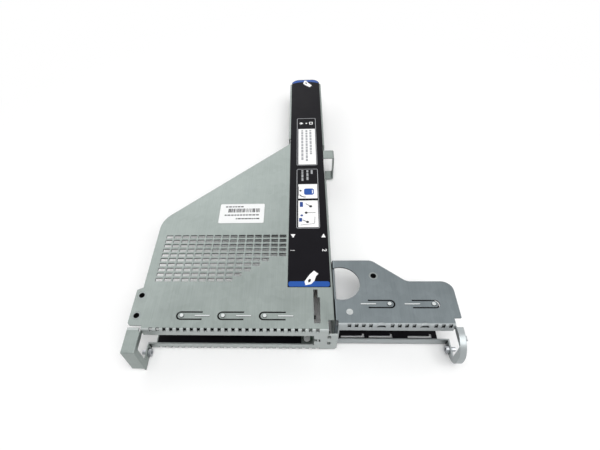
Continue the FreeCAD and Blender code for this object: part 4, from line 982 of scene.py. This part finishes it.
def softbox(name, place, size, power):
    """A rectangular lamp that faces the part."""
    lamp = bpy.data.lights.new(f"{name}_softbox", "AREA")
    lamp.shape = "RECTANGLE"
    lamp.size, lamp.size_y = size
    lamp.energy = power
    light = bpy.data.objects.new(f"{name}_softbox", lamp)
    light.location = place
    light.rotation_euler = (-Vector(place)).to_track_quat("-Z", "Y").to_euler()
    return light


def photo_camera():
    """The fitted camera: its axes and its eye, with the picture's middle as a shift of the lens."""
    axes = camera_axes()
    lens = bpy.data.cameras.new("camera")
    lens.sensor_fit = "HORIZONTAL"
    lens.sensor_width = SENSOR
    lens.lens = FOCAL / PICTURE * SENSOR
    lens.shift_x = (PICTURE / 2 - CENTRE_X) / PICTURE
    lens.clip_start = CLIP_NEAR * MM
    camera = bpy.data.objects.new("camera", lens)
    turn = Matrix((axes[0], -axes[1], -axes[2])).transposed()
    camera.matrix_world = Matrix.Translation(Vector(EYE) * MM) @ turn.to_4x4()
    return camera


class RISER_OT_stage(bpy.types.Operator):
    """Makes the floor, the light and the camera"""
    bl_idname = "riser.stage"
    bl_label = "Stage"

    def execute(self, context):
        scene = context.scene
        look = scene.riser_stage
        mesh = bpy.data.meshes.new("floor")
        corners = [(x * FLOOR_REACH, y * FLOOR_REACH, 0.0) for x, y in ((-1, -1), (1, -1), (1, 1), (-1, 1))]
        mesh.from_pydata(corners, [], [(0, 1, 2, 3)])
        floor = bpy.data.objects.new("floor", mesh)
        scene.collection.objects.link(floor)
        mesh.materials.append(paper_floor("paper_floor", tuple(look.floor)))

        scene.world = studio_world(look.sky)
        for name, (place, size) in SOFTBOXES.items():
            scene.collection.objects.link(softbox(name, place, size, getattr(look, name)))
        scene.view_settings.view_transform = "Standard"
        scene.camera = photo_camera()
        scene.collection.objects.link(scene.camera)
        return {"FINISHED"}


class RISER_PT_panel(bpy.types.Panel):
    """Lists the settings and runs the steps one by one"""
    bl_idname = "RISER_PT_panel"
    bl_label = "Riser card"
    bl_space_type = "VIEW_3D"
    bl_region_type = "UI"
    bl_category = "Riser"

    def draw(self, context):
        column = self.layout.column()
        for name, group in GROUPS.items():
            settings = getattr(context.scene, name)
            for key in group.__annotations__:
                column.prop(settings, key)
        for operator in OPERATORS:
            column.operator(operator.bl_idname)


GROUPS = {"riser_sheet": RiserSheet, "riser_fasteners": RiserFasteners, "riser_board": RiserBoard,
          "riser_label": RiserLabel, "riser_stage": RiserStage}
OPERATORS = (RISER_OT_sheets, RISER_OT_fasteners, RISER_OT_board, RISER_OT_contacts, RISER_OT_films,
             RISER_OT_film_shade, RISER_OT_print, RISER_OT_sticker, RISER_OT_stage)
CLASSES = (*GROUPS.values(), *OPERATORS, RISER_PT_panel)


def register():
    for item in CLASSES:
        bpy.utils.register_class(item)
    for name, group in GROUPS.items():
        setattr(bpy.types.Scene, name, bpy.props.PointerProperty(type=group))


def unregister():
    for name in GROUPS:
        delattr(bpy.types.Scene, name)
    for item in reversed(CLASSES):
        bpy.utils.unregister_class(item)


def main():
    register()
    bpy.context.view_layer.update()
    bpy.ops.riser.sheets()
    bpy.ops.riser.fasteners()
    bpy.ops.riser.board()
    bpy.ops.riser.contacts()
    bpy.ops.riser.films()
    bpy.ops.riser.film_tails()
    bpy.ops.riser.print()
    bpy.ops.riser.sticker()
    bpy.ops.riser.stage()


if __name__ == "__main__":
    main()
